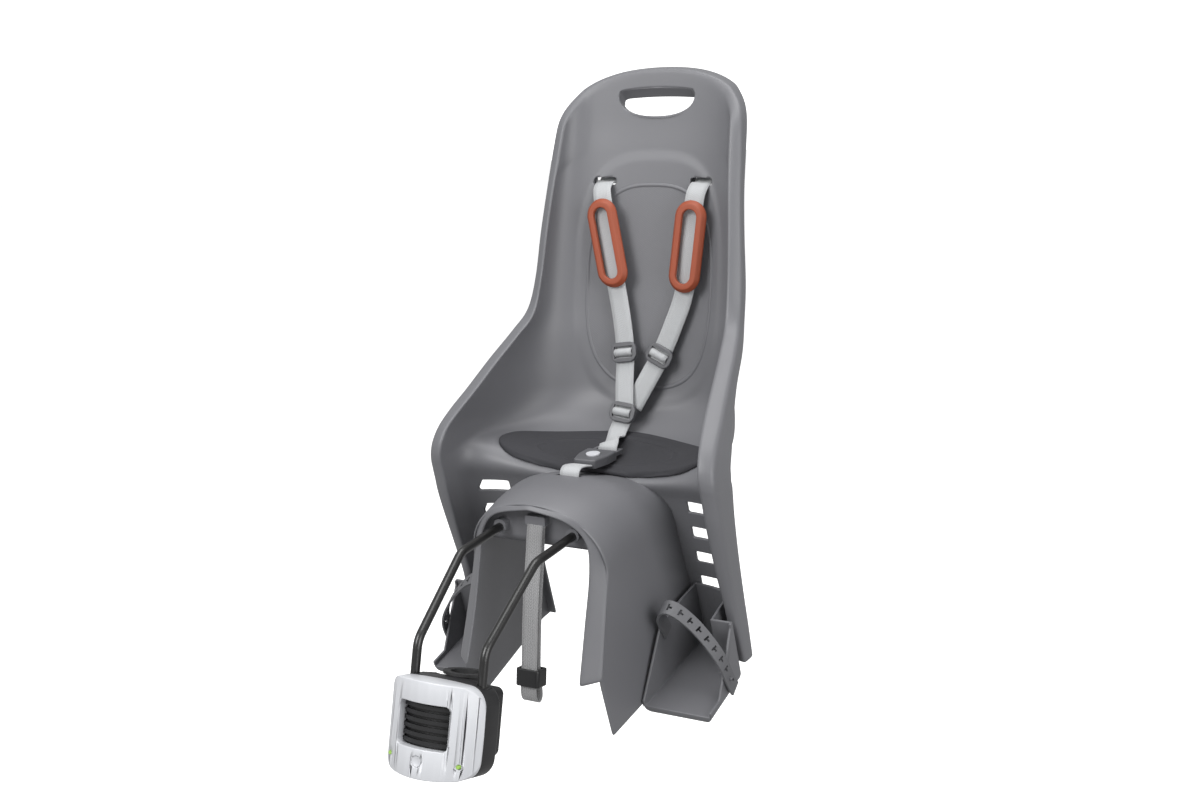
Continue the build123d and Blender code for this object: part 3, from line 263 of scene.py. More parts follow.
across = size_of(x / OVAL_HALF_W) ** OVAL_SQUARE
upright = size_of((z - OVAL_MIDDLE_Z) / OVAL_HALF_H) ** OVAL_SQUARE
inside = (across + upright < 0.93) * (y > OVAL_IN_FRONT_OF)
twill = wave(x + z) * 0.7 + wave(x - z) * 0.3
ribbed_back.bump(ribbed_back.height * 0.35 + inside * twill * 0.5, 0.3, 0.0006)
footrest_plastic = moulded("footrest_plastic", shade(SHELL_GREY, 0.92)[:3], 0.5)
black_plastic = moulded("black_plastic", (0.012, 0.012, 0.013), 0.38)
dark_plastic = moulded("dark_plastic", (0.085, 0.086, 0.093), 0.36)
white_plastic = moulded("white_plastic", (0.54, 0.55, 0.575), 0.3, grain=0.03, speckle=0.01)
green_plastic = moulded("green_plastic", (0.3, 0.5, 0.1), 0.3, grain=0.03)
print("plastic finishes made")

# %% [markdown]
# ## Paint, steel and rubber
# The bar is gloss black paint over bent tube, so it gets a clear coat. Fasteners are zinc plated and a little
# cloudy. Rubber is matt and dusty. The ring pads are a soft terracotta rubber.

# %% Other hard finishes
bar_paint = Finish("bar_paint", Coat_Weight=0.25, Coat_Roughness=0.12)
where = bar_paint.place()
mottle = bar_paint.noise(where, 40.0)
bar_paint.set("Base Color", bar_paint.mix(mottle, shade((0.005,) * 3, 1), shade((0.009,) * 3, 1)))
bar_paint.set("Roughness", 0.3 + 0.1 * bar_paint.noise(where, 300.0))

zinc = Finish("zinc", Metallic=1.0)
where = zinc.place()
cloud = zinc.noise(where, 220.0, 4.0)
zinc.set("Base Color", zinc.mix(cloud, shade((0.46, 0.47, 0.48), 1), shade((0.62, 0.62, 0.62), 1)))
zinc.set("Roughness", 0.3 + 0.2 * cloud)


def rubber(name, colour, roughness, dust):
    """Soft rubber with a fine bloom of dust."""
    finish = Finish(name)
    where = finish.place()
    bloom = finish.noise(where, 60.0, 4.0)
    finish.set("Base Color", finish.mix(bloom * dust, shade(colour, 0.95), shade(colour, 1.25)))
    finish.set("Roughness", roughness + 0.1 * bloom)
    finish.bump(finish.noise(where, 1200.0), 0.12, 0.0004)
    return finish


black_rubber = rubber("black_rubber", (0.016, 0.016, 0.017), 0.6, 0.5)
strap_rubber = rubber("strap_rubber", (0.1, 0.101, 0.108), 0.55, 0.4)
ring_rubber = rubber("ring_rubber", (0.265, 0.052, 0.018), 0.5, 0.35)

# %% [markdown]
# ## Webbing
# Webbing is woven: warp yarns run along it and weft yarns cross them, which leaves a fine rib. Each strap
# carries a map whose first number runs across it and whose second runs along it in metres, so the weave bends
# with the strap and its two firm edges stay at its edges.


# %% Woven finishes
def woven(name, colour, ribs, rib_length, deep):
    """Webbing: ribs across, a chevron along them and two firm edges."""
    finish = Finish(name, Sheen_Weight=0.25, Sheen_Roughness=0.5)
    across, along, _ = finish.axes(finish.place("UV"))
    warp = finish.add("ShaderNodeMath", {"operation": "SINE"}, {0: across * (ribs * 2 * math.pi)})
    lean = finish.add("ShaderNodeMath", {"operation": "PINGPONG"}, {0: across * 4.0, 1: 1.0})
    slant = along / rib_length + lean * 1.5
    weft = finish.add("ShaderNodeMath", {"operation": "SINE"}, {0: slant * (2 * math.pi)})
    weave = 0.5 + 0.25 * warp + 0.25 * weft
    edge = finish.add("ShaderNodeMath", {"operation": "ABSOLUTE"}, {0: across - 0.5})
    hem = edge > 0.44
    fuzz = finish.noise(finish.place(), 900.0, 3.0)
    shadow = weave * 0.55 + fuzz * 0.25 + hem * 0.12
    finish.set("Base Color", finish.mix(shadow, shade(colour, 0.72), shade(colour, 1.22)))
    finish.set("Roughness", 0.62 + 0.2 * fuzz)
    finish.bump(weave + hem * 0.4, deep, 0.0006)
    return finish


webbing = woven("webbing", (0.42, 0.43, 0.44), 12.0, 0.0022, 0.5)
safety_webbing = woven("safety_webbing", (0.27, 0.27, 0.275), 7.0, 0.0034, 0.8)
print("woven finishes made")

# %% [markdown]
# ## Soft foam
# The pad is a firm foam sheet with a closed skin. The skin is pitted very finely and looks nearly black in the
# hollows, so a cell pattern of a few tenths of a millimetre gives the bump and a slow noise moves the colour.

# %% Foam finish
foam = Finish("foam")
where = foam.place()
pits = foam.add("ShaderNodeTexVoronoi", None, {"Vector": where, "Scale": 900.0})
drift = foam.noise(where, 22.0)
foam.set("Base Color", foam.mix(drift, shade((0.022, 0.022, 0.026), 1), shade((0.03, 0.03, 0.035), 1)))
foam.set("Roughness", 0.78 + 0.12 * drift)
foam.bump(pits, 0.25, 0.0005)

# %% [markdown]
# ## The floor and the white surroundings
# The floor is wide and almost white, with a trace of noise so that it isn't one flat colour. A large white
# ball around everything is the paper backdrop of a studio. Both glow a little so that they come out white, and
# they are kept out of the light that falls on the seat, so its shaded sides stay dark.

# %% Floor and backdrop
paper = Finish("paper", Roughness=0.9, Emission_Color=(1, 1, 1, 1), Emission_Strength=0.55)
paper.set("Base Color", paper.mix(paper.noise(paper.place(), 2.0), shade((0.9,) * 3, 1), shade((0.93,) * 3, 1)))
bm = bmesh.new()
bmesh.ops.create_grid(bm, x_segments=1, y_segments=1, size=12.0)
bmesh.ops.translate(bm, verts=bm.verts, vec=(0, 0, FLOOR_Z))
floor_mesh = bpy.data.meshes.new("floor")
bm.to_mesh(floor_mesh)
bm.free()
floor = bpy.data.objects.new("floor", floor_mesh)
scene.collection.objects.link(floor)
floor_mesh.materials.append(paper.material)
bm = bmesh.new()
bmesh.ops.create_uvsphere(bm, u_segments=48, v_segments=24, radius=10.0)
backdrop_mesh = bpy.data.meshes.new("backdrop")
bm.to_mesh(backdrop_mesh)
bm.free()
backdrop = bpy.data.objects.new("backdrop", backdrop_mesh)
scene.collection.objects.link(backdrop)
glow = Finish("glow", Emission_Color=(1, 1, 1, 1), Emission_Strength=1.0)
glow.set("Base Color", glow.mix(glow.noise(glow.place(), 1.0), shade((0.9,) * 3, 1), shade((0.92,) * 3, 1)))
backdrop_mesh.materials.append(glow.material)
for stand in (floor, backdrop):
    stand.visible_diffuse = False
    stand.visible_glossy = False
backdrop.visible_shadow = False

# %% [markdown]
# ## Making a piece
# Every new piece goes the same way: a bmesh is shaped, becomes an object, gets a finish, rides on the body that
# carries it and hides the solid it stands for. A grid whose points are moved to a formula makes the moulded
# walls and the straps, since both are sheets.


# %% Helpers for pieces
def piece(name, bm, finish, body, slot, *stands_for):
    """Turn a bmesh into a finished piece."""
    mesh = bpy.data.meshes.new(name)
    bm.to_mesh(mesh)
    bm.free()
    mesh.materials.append(finish.material)
    for polygon in mesh.polygons:
        polygon.use_smooth = True
    made = bpy.data.objects.new(name, mesh)
    scene.collection.objects.link(made)
    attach(made, body)
    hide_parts(*stands_for)
    return made


def sheet_grid(across, along, place, toward):
    """A grid moved to a formula of two shares from -1 to 1, facing one way; the shares come back too."""
    bm = bmesh.new()
    bmesh.ops.create_grid(bm, x_segments=across, y_segments=along, size=1.0)
    map_layer = bm.loops.layers.uv.new("map")
    shares = {vert: (vert.co.x, vert.co.y) for vert in bm.verts}
    for vert, (u, v) in shares.items():
        vert.co = place(u, v) * MM
    bm.normal_update()
    facing = sum((face.normal.dot(toward) * face.calc_area() for face in bm.faces))
    if facing < 0:
        bmesh.ops.reverse_faces(bm, faces=bm.faces)
    for face in bm.faces:
        for loop in face.loops:
            loop[map_layer].uv = shares[loop.vert]
    return bm, shares


def thicken(made, thickness, levels):
    """Give a sheet its wall, behind the face that shows, and smooth it."""
    wall = made.modifiers.new("wall", "SOLIDIFY")
    wall.thickness = thickness
    wall.offset = -1.0
    wall.use_even_offset = True
    wall.thickness_clamp = 0.0
    if levels:
        soft = made.modifiers.new("soft", "SUBSURF")
        soft.levels = levels
        soft.render_levels = levels


def settle(made):
    """Apply a piece's modifiers to its mesh."""
    ready = made.evaluated_get(bpy.context.evaluated_depsgraph_get())
    mesh = bpy.data.meshes.new_from_object(ready)
    made.modifiers.clear()
    made.data = mesh


def cut(made, blocks):
    """Take blocks, each a bmesh, out of a piece."""
    for block in blocks:
        mesh = bpy.data.meshes.new("cut")
        block.to_mesh(mesh)
        block.free()
        tool = bpy.data.objects.new("cut", mesh)
        scene.collection.objects.link(tool)
        away = made.modifiers.new("cut", "BOOLEAN")
        away.operation = "DIFFERENCE"
        away.solver = "EXACT"
        away.object = tool
        settle(made)
        bpy.data.objects.remove(tool)
    print(made.name, "has", len(made.data.polygons), "faces after", len(blocks), "cuts")


def block_mesh(centre, size, radius=0.0):
    """A box about a centre, in millimetres, with rounded upright corners along its depth."""
    bm = bmesh.new()
    bmesh.ops.create_cube(bm, size=1.0)
    bmesh.ops.scale(bm, verts=bm.verts, vec=Vector(size) * MM)
    if radius:
        deep = [e for e in bm.edges if abs((e.verts[0].co - e.verts[1].co).normalized().y) > 0.9]
        bmesh.ops.bevel(bm, geom=deep, offset=radius * MM, affect="EDGES", segments=4, profile=0.5, material=-1)
    bmesh.ops.translate(bm, verts=bm.verts, vec=Vector(centre) * MM)
    return bm


# %% [markdown]
# ## The rows of the shell
# The shell is one moulding: back, wings, pan, ladder walls and guards. It is described as the moulder's drawing
# would, by rows across it from the top down. Each row has its middle, the inner and the outer edge of the flat
# rim, how far the lip runs back and how square the row bends. A smooth curve through the rows fills the rest.

# %% Shell rows and curves
SHELL_ROWS = [
    (517, 665, 117, 487, 665, 131, 487, 665, 13, 0, 2.6),
    (511, 625, 116, 479, 625, 130.5, 481, 625, 13, -2, 2.6),
    (504, 577, 114, 470, 577, 128, 476, 577, 13, -2, 2.6),
    (497, 540, 116, 458, 540, 131, 465, 540, 13, -2, 2.6),
    (489, 495, 120, 444, 497, 134.5, 451, 495, 13, -2, 2.6),
    (481, 448, 124, 431, 450, 139, 438, 446, 13, -2, 2.7),
    (471, 392, 128, 415.5, 392, 143.5, 426, 392, 14, -3, 2.8),
    (463, 350, 131.5, 398, 350, 147.5, 409, 355, 15, -7, 2.9),
    (457, 318, 139, 368, 327, 156, 383, 332, 15, -14, 2.9),
    (452, 290, 147, 332, 303, 166, 343, 305, 15, -18, 3.0),
    (447, 265, 155, 293, 276, 175.5, 303, 276, 24, -20, 3.1),
    (440, 243, 162, 264, 256, 182, 275, 257, 34, -20, 3.2),
    (427, 224, 167, 246, 241, 186.5, 254, 240, 42, -16, 3.3),
    (406, 207, 169.5, 236.5, 227, 189, 242, 224, 46, -10, 3.4),
    (375, 194, 171, 232.5, 215, 190.5, 238, 210, 47, -4, 3.5),
    (340, 187, 172, 232.5, 204, 191, 238, 199, 46, 0, 3.6),
    (312, 184, 172.3, 235, 194, 191.5, 240, 190, 45, 3, 3.8),
    (298, 176, 172.5, 238.5, 180, 191.5, 243, 175, 43, 5, 4.2),
    (304.5, 160, 172.7, 243, 160, 191.5, 247, 155, 40, 6, 5),
    (313, 128, 173.2, 252, 128, 190.8, 256, 124, 36, 6, 5),
    (322, 90, 173.8, 263.5, 90, 189.6, 267, 88, 33, 6, 5),
    (333, 47, 175, 278, 47, 188.7, 280, 45, 30, 6, 5),
    (342, 10, 174.5, 290, 10, 190, 288, 10, 27, 6, 5),
    (351, -27, 173.5, 304, -27, 190, 299, -27, 24, 0, 5),
]
ARCH_HALF_W = 131.5
ARCH_LOW_Z = 560.0
ARCH_HIGH = 80.0
ARCH_SQUARE = 2.35
TOP_LIP = [(0, 541), (58, 536), (106, 522), (131, 494)]
WALL = 3.0
DISH = 32.0
PAN_SHARE = 0.66
PAN_REACH = 0.14
EDGE_R = 2.4


def blend(points, share):
    """A smooth curve through the points, from 0 at the first to 1 at the last."""
    spans = len(points) - 1
    place = min(max(share, 0), 1) * spans
    index = min(int(place), spans - 1)
    f = place - index
    before = points[max(index - 1, 0)]
    after = points[min(index + 2, spans)]
    result = []
    for a, b, c, d in zip(before, points[index], points[index + 1], after):
        curve = (2 * a - 5 * b + 4 * c - d) * f**2 + (3 * b - a - 3 * c + d) * f**3
        result.append(0.5 * (2 * b + (c - a) * f + curve))
    return tuple(result)


def along_curve(points, column, want, low=0.0, high=1.0):
    """The point of a curve where one of its numbers has a wanted value; that number rises."""
    for _ in range(30):
        middle = (low + high) / 2
        if blend(points, middle)[column] < want:
            low = middle
        else:
            high = middle
    return blend(points, low)


def bend(share, square):
    """How far a row has gone sideways and ahead, from 0 at its middle to 1 at its end."""
    quarter = share * math.pi / 2
    return math.sin(quarter) ** (2 / square), 1 - max(math.cos(quarter), 0) ** (2 / square)


def spaced(points, count):
    """The same line with its points spaced evenly."""
    reach = [0.0]
    for a, b in zip(points, points[1:]):
        reach.append(reach[-1] + (b - a).length)
    result = []
    k = 0
    for i in range(count + 1):
        want = reach[-1] * i / count
        while k < len(points) - 2 and reach[k + 1] < want:
            k += 1
        result.append(points[k].lerp(points[k + 1], (want - reach[k]) / (reach[k + 1] - reach[k])))
    return result


# %% [markdown]
# ## Back, wings, pan and guards
# One grid becomes the face that the child touches. Its top is drawn down to the arch of the top edge. The rim
# then runs up one side, over the arch and down the other side: from each point of the grid's border a strip goes
# over the flat rim and back along the lip. Each corner of the rim gets two points instead of one, and the
# subdivision turns it into the small round edge of a moulding. Where the sides meet the arch, the strips are
# eased towards their neighbours, which rounds the two corners, and the grid beside them is relaxed to follow.
# Solidify gives the wall its 3 mm behind the face.

# %% Shell wall
ACROSS = 32
DOWN = 148
TRIM_SHARE = 0.35
TOP_BAND = 8.0
SIDE_BAND = 14.5
TOP_DROP = 1.5
SIDE_DROP = 6.0
CORNER_X = 114.5
CORNER_Z = 575.0
CORNER_LIP = 6.0
LIP_GROWS_Z = 480.0
LIP_END_X = 130.5
EASE_REACH = 7
EASE_ROUNDS = 16
RELAX_COLUMNS = 10
RELAX_ROWS = 14


def pan_lift(share):
    """Rise of the pan's lobes beside its middle."""
    near = max(0, 1 - abs(share - PAN_SHARE) / PAN_REACH)
    return DISH * near * near * (3 - 2 * near)


def shell_half(share):
    """The right half of one row, from its middle to the inner edge of the rim."""
    yc, zc, xi, yi, zi, *_, square = blend(SHELL_ROWS, share)
    row = []
    for j in range(61):
        sideways, ahead = bend(j / 60, square)
        lift = pan_lift(share) * sideways**2 * (1 - ahead)
        row.append(Vector((xi * sideways, yc + (yi - yc) * ahead, zc + (zi - zc) * ahead + lift)))
    return spaced(row, ACROSS)


def arch_line():
    """The top edge from its middle to the right corner: inner x and z, outer x and z."""
    line = []
    for k in range(61):
        turn = k / 60 * math.pi / 2
        x = ARCH_HALF_W * math.sin(turn) ** (2 / ARCH_SQUARE)
        z = ARCH_LOW_Z + ARCH_HIGH * max(math.cos(turn), 0) ** (2 / ARCH_SQUARE)
        steep_x = (x / ARCH_HALF_W) ** (ARCH_SQUARE - 1) / ARCH_HALF_W
        steep_z = ((z - ARCH_LOW_Z) / ARCH_HIGH) ** (ARCH_SQUARE - 1) / ARCH_HIGH
        out = Vector((steep_x, steep_z)).normalized()
        wide = TOP_BAND + (SIDE_BAND - TOP_BAND) * (x / ARCH_HALF_W) ** 4
        line.append((x - out.x * wide, z - out.y * wide, x, z))
    return line


arch = arch_line()


def top_share(column):
    """Where a column meets the inner line of the arch."""
    low = 0.0
    high = 0.2
    for _ in range(24):
        share = (low + high) / 2
        point = shell_half(share)[column]
        if point.z > along_curve(arch, 0, point.x)[1]:
            low = share
        else:
            high = share
    return low


top_shares = [top_share(column) for column in range(ACROSS + 1)]
known_rows = {}


def row_share(column, v):
    """Share of the shell's length at a column of the grid; the top rows are drawn down to the arch."""
    share = (1 - v) / 2
    if share < TRIM_SHARE:
        top = top_shares[column]
        share = top + (TRIM_SHARE - top) * share / TRIM_SHARE
    return round(share, 6)


def on_shell(u, v):
    """A point of the shell's face: u from the left rim to the right, v from the feet up to the top."""
    column = round(abs(u) * ACROSS)
    share = row_share(column, v)
    if share not in known_rows:
        known_rows[share] = shell_half(share)
    point = known_rows[share][column].copy()
    point.x = math.copysign(point.x, u)
    return point


def side_edge(share):
    """Inner and outer edge of the right rim in one row, and the foot of its lip."""
    _, _, xi, yi, zi, xo, yo, zo, lip_y, lip_z, _ = blend(SHELL_ROWS, share)
    outer = Vector((xo, yo, zo))
    grown = max(zo - LIP_GROWS_Z, 0) / (CORNER_Z - LIP_GROWS_Z)
    return Vector((xi, yi, zi)), outer, outer + Vector((0, lip_y + CORNER_LIP * grown**2, lip_z))


def top_edge(inner):
    """Inner and outer edge of the top band, and the foot of its lip, from a point of the arch's inner line."""
    _, _, x, z = along_curve(arch, 0, inner.x)
    drop = TOP_DROP + (SIDE_DROP - TOP_DROP) * (inner.x / CORNER_X) ** 6
    end = along_curve(TOP_LIP, 0, min(x, LIP_END_X))[1]
    return inner, Vector((x, inner.y + drop, z)), Vector((x, end, z))


def over_rim(inside, inner, outer, foot):
    """Points of a strip over the rim; two points stand for each of its corners."""
    into = (inner - inside).normalized() * EDGE_R
    over = (outer - inner).normalized() * EDGE_R
    back = (foot - outer).normalized() * EDGE_R
    return [inner - into, inner + over, outer - over, outer + back, (outer + foot) / 2, foot]


SHELL_FACING = Vector((0, -1, 0.4))
bm, shares = sheet_grid(2 * ACROSS, DOWN, on_shell, SHELL_FACING)
grid = {(round(u * ACROSS), round((1 + v) / 2 * DOWN)): vert for vert, (u, v) in shares.items()}
border = [(-ACROSS, i) for i in range(DOWN)] + [(j, DOWN) for j in range(-ACROSS, ACROSS + 1)]
border += [(ACROSS, i) for i in range(DOWN - 1, -1, -1)]
lines = []
for j, i in border:
    column = abs(j)
    v = 2 * i / DOWN - 1
    if i < DOWN:
        edge = side_edge(row_share(column, v))
        inside = on_shell((column - 1) / ACROSS, v)
    else:
        edge = top_edge(on_shell(column / ACROSS, v))
        inside = on_shell(column / ACROSS, v - 2 / DOWN)
    flip = Vector((math.copysign(1, j), 1, 1))
    lines.append([point * flip * MM for point in over_rim(inside, *edge)])
for _ in range(EASE_ROUNDS):
    before = [list(line) for line in lines]
    for corner in (DOWN, DOWN + 2 * ACROSS):
        for k in range(corner - EASE_REACH, corner + EASE_REACH + 1):
            lines[k] = [(a + 2 * b + c) / 4 for a, b, c in zip(before[k - 1], before[k], before[k + 1])]
strips = []
for place, line in zip(border, lines):
    grid[place].co = line[0]
    strips.append([grid[place]] + [bm.verts.new(point) for point in line[1:]])
corners = []
for (j, i), vert in grid.items():
    if ACROSS - RELAX_COLUMNS < abs(j) < ACROSS and DOWN - RELAX_ROWS < i < DOWN:
        corners.append(vert)
for _ in range(EASE_ROUNDS):
    bmesh.ops.smooth_vert(bm, verts=corners, factor=0.5, use_axis_x=True, use_axis_y=True, use_axis_z=True)
for here, there in zip(strips, strips[1:]):
    for k in range(len(here) - 1):
        bm.faces.new((here[k], there[k], there[k + 1], here[k + 1]))
bmesh.ops.recalc_face_normals(bm, faces=bm.faces)
if sum(face.normal.dot(SHELL_FACING) for face in bm.faces) < 0:
    bmesh.ops.reverse_faces(bm, faces=bm.faces)
seat_wall = piece("seat_wall", bm, ribbed_back, "seat", "shell", "seat_shell")
thicken(seat_wall, WALL * MM, 1)
settle(seat_wall)
print("seat wall", len(seat_wall.data.polygons), "faces")

# %% [markdown]
# ## Relief of the back
# The middle of the back stands forward by two millimetres behind a soft step, and a fine bead runs round the
# ribbed oval on it. The step is moved into the finished wall point by point. The bead is a closed strip of its
# own, laid on the wall along the same oval, because it is finer than the wall's grid.

# %% Raised panel and bead
PANEL_MIDDLE_Z = 385.0
PANEL_HALF_W = 104.0
PANEL_HALF_H = 158.0
PANEL_RISE = 2.2
PANEL_SLOPE = 0.09
BACK_LEAN = math.radians(9.5)
BACK_OUT = Vector((0, -math.cos(BACK_LEAN), math.sin(BACK_LEAN)))
BEAD_HALF_W = 2.6
BEAD_RISE = 1.5


def panel_rise(x, z):
    """How far the back stands forward at a place, in millimetres."""
    reach = (abs(x) / PANEL_HALF_W) ** 3 + (abs(z - PANEL_MIDDLE_Z) / PANEL_HALF_H) ** 3
    share = min(max((1 - reach ** (1 / 3)) / PANEL_SLOPE, 0), 1)
    return PANEL_RISE * share * share * (3 - 2 * share)


def back_face(x, z):
    """A point of the raised back's face at a height."""
    low = 0.0
    high = 0.55
    for _ in range(30):
        middle = (low + high) / 2
        if blend(SHELL_ROWS, middle)[1] > z:
            low = middle
        else:
            high = middle
    yc, _, xi, yi, *_, square = blend(SHELL_ROWS, low)
    sideways = min(abs(x) / xi, 1) ** square
    ahead = 1 - (1 - sideways) ** (1 / square)
    return Vector((x, yc + (yi - yc) * ahead, z)) + BACK_OUT * panel_rise(x, z)


for vert in seat_wall.data.vertices:
    if vert.co.y / MM > 380 and vert.co.z / MM > 215:
        vert.co += BACK_OUT * panel_rise(vert.co.x / MM, vert.co.z / MM) * MM


def on_bead(u, v):
    """A point of the bead: u round the oval, v across its half-round section."""
    turn = u * math.pi
    wide = OVAL_HALF_W / MM + BEAD_HALF_W * v
    tall = OVAL_HALF_H / MM + BEAD_HALF_W * v
    x = math.copysign(abs(math.sin(turn)) ** (2 / OVAL_SQUARE), math.sin(turn)) * wide
    z = math.copysign(abs(math.cos(turn)) ** (2 / OVAL_SQUARE), math.cos(turn)) * tall
    point = back_face(x, OVAL_MIDDLE_Z / MM + z)
    return point + BACK_OUT * (BEAD_RISE * (1 - v * v) - 0.3)


bm, shares = sheet_grid(240, 6, on_bead, Vector((0, -1, 0)))
bmesh.ops.remove_doubles(bm, verts=bm.verts, dist=0.0001)
back_bead = piece("back_bead", bm, shell_plastic, "seat", "shell", "seat_shell")
print("bead", len(back_bead.data.polygons), "faces")

# %% [markdown]
# ## Nose and skirts
# In front of the pan the moulding arches down into two skirts that hide the bar and stand beside the bicycle's
# wheel. Its section is an arch at the top and a straight wall below, and the outline seen from the side trims
# it. The grid follows that outline, so the edges stay clean and nothing has to be cut.

# %% Nose and skirts
NOSE_ROWS = [
    (150, 184, 2.1), (165, 191, 2.1), (200, 198, 2.3), (245, 198, 2.6), (280, 189, 2.9), (310, 182.5, 3.1),
    (365, 178, 3.3),
]
NOSE_FRONT = [(-70, 150), (3, 136), (33, 146), (118, 171), (180, 160), (212, 157)]
NOSE_REAR = [(-70, 359), (-30, 359), (160, 312), (212, 312)]
NOSE_FOOT = [(130, -70), (150, -70), (335, -30), (365, -30)]
SKIRT_TOP_Z = 118.0
SKIRT_X = 89.0
SKIRT_Y = 173.0
SKIRT_SPLAY = 0.05
SKIRT_WIDENS = 0.09
ARCH_SHARE = 0.45


def straight(points, want):
    """Height of a line of straight stretches at a place."""
    for (a, first), (b, second) in zip(points, points[1:]):
        if want <= b:
            return first + (second - first) * max(want - a, 0) / (b - a)
    return points[-1][1]


def skirt_x(y, z):
    """Outer face of the right skirt."""
    return SKIRT_X + (SKIRT_TOP_Z - z) * SKIRT_SPLAY + (y - SKIRT_Y) * SKIRT_WIDENS


def on_nose(u, v):
    """A point of the nose: u from the left foot over the arch to the right, v from the rear to the front."""
    y = 240.0
    for _ in range(12):
        if abs(u) < ARCH_SHARE:
            _, middle, square = along_curve(NOSE_ROWS, 0, y)
            sideways, ahead = bend(abs(u) / ARCH_SHARE, square)
            z = middle + (SKIRT_TOP_Z - middle) * ahead
            x = skirt_x(y, SKIRT_TOP_Z) * sideways
        else:
            z = SKIRT_TOP_Z + (straight(NOSE_FOOT, y) - SKIRT_TOP_Z) * (abs(u) - ARCH_SHARE) / (1 - ARCH_SHARE)
            x = skirt_x(y, z)
        front = straight(NOSE_FRONT, z)
        y = front + (straight(NOSE_REAR, z) - front) * (1 - v) / 2
    return Vector((math.copysign(x, u), y, z))


bm, shares = sheet_grid(80, 30, on_nose, Vector((0, 0, 1)))
nose_skirts = piece("nose_skirts", bm, shell_plastic, "seat", "shell", "seat_shell")
thicken(nose_skirts, WALL * MM, 1)
settle(nose_skirts)
print("nose and skirts", len(nose_skirts.data.polygons), "faces")

# %% [markdown]
# ## Band, panel and saddles of the nose
# A band runs round the front opening, an upright panel closes it higher up, and two blocks under the nose
# take the bar. The band is a sheet between two curves. The panel is a cut plate, so it starts as a grid that
# fills the arch, and the holes for the bar and the strap are taken out of it.

# %% Front of the nose
BAND_INNER = [(0, 155, 184), (45, 158, 174), (68, 162, 152), (73, 158, 118), (73, 141, 62), (75, 118, 0)]
BAND_OUTER = [(0, 158, 189), (55, 162, 178), (80, 168, 147), (89, 171, 112), (93, 150, 45), (95.5, 136, 3)]
WEB_Y = 178.5
WEB_LOW_Z = 137.0
WEB_TOP_Z = 191.0
WEB_REACH = 0.86
WEB_SQUARE = 2.1
BAR_X = 48.0
BAR_Z = 155.5
SADDLE_Y = 250.0
SADDLE_Z = 172.0
SADDLE_EDGE = 0.002


def on_band(u, v):
    inner = Vector(blend(BAND_INNER, abs(u)))
    outer = Vector(blend(BAND_OUTER, abs(u)))
    point = inner.lerp(outer, (1 + v) / 2)
    point.x = math.copysign(point.x, u)
    return point


def on_web(u, v):
    """Upright panel: u across it, v from its lower edge up to the arch."""
    half = skirt_x(WEB_Y, SKIRT_TOP_Z) - WALL
    sideways, ahead = bend(min(abs(u), 1) * WEB_REACH, WEB_SQUARE)
    top = WEB_TOP_Z + (SKIRT_TOP_Z - WEB_TOP_Z) * ahead
    z = WEB_LOW_Z + (top - WEB_LOW_Z) * (1 + v) / 2
    return Vector((math.copysign(half * sideways, u), WEB_Y, z))


bm, shares = sheet_grid(60, 4, on_band, Vector((0, -1, 0)))
nose_band = piece("nose_band", bm, shell_plastic, "seat", "shell", "seat_shell")
thicken(nose_band, WALL * MM, 1)
settle(nose_band)
bm, shares = sheet_grid(32, 6, on_web, Vector((0, -1, 0)))
nose_web = piece("nose_web", bm, shell_plastic, "seat", "shell", "seat_shell")
thicken(nose_web, WALL * MM, 0)
settle(nose_web)
holes = [block_mesh((0, WEB_Y, 166.6), (26, 20, 11.2), 2.0)]
for side in (1, -1):
    holes.append(block_mesh((side * BAR_X, WEB_Y, BAR_Z), (16, 20, 16), 7.6))
cut(nose_web, holes)
for side, word in ((1, "right"), (-1, "left")):
    bm = block_mesh((side * BAR_X, SADDLE_Y, SADDLE_Z), (22, 30, 26))
    rounded = list(bm.edges)
    bmesh.ops.bevel(bm, geom=rounded, offset=SADDLE_EDGE, affect="EDGES", segments=3, profile=0.5, material=-1)
    saddle = piece("bar_saddle_" + word, bm, shell_plastic, "seat", "shell", "seat_shell")
    cut(saddle, [block_mesh((side * BAR_X, SADDLE_Y, 159), (10.6, 60, 10.6), 4.9)])

# %% [markdown]
# ## Holes in the shell
# The mould closes through the wall at the hand hole, the harness slots, the ladder openings and the tunnel
# for the wheel. Each is a block with rounded corners taken away from the finished wall. The hand hole also has
# a thick collar, so that an edge doesn't cut the hand that carries the seat.

# %% Hand hole, slots and tunnel
HOLE_MIDDLE = Vector((0, 507.06, 598))
HOLE_W = 104.0
HOLE_H = 31.0
HOLE_BOW = 3.0
HOLE_CORNER_R = 6.0
HOLE_SQUARE = 2.25
HOLE_DRAFT = 9.0
COLLAR_DEEP = 14.0
COLLAR_PROUD = 0.4
COLLAR_EDGE = 0.0009
TUNNEL_R = 26.0
TUNNEL_TOP_Z = 166.0
TUNNEL_HALF_W = 99.3
TUNNEL_LONG = 276.0
HARNESS_X = 67.0
LADDER_X = 142.0
LADDER_STEP = 33.0
LADDER_LEAN = 0.25


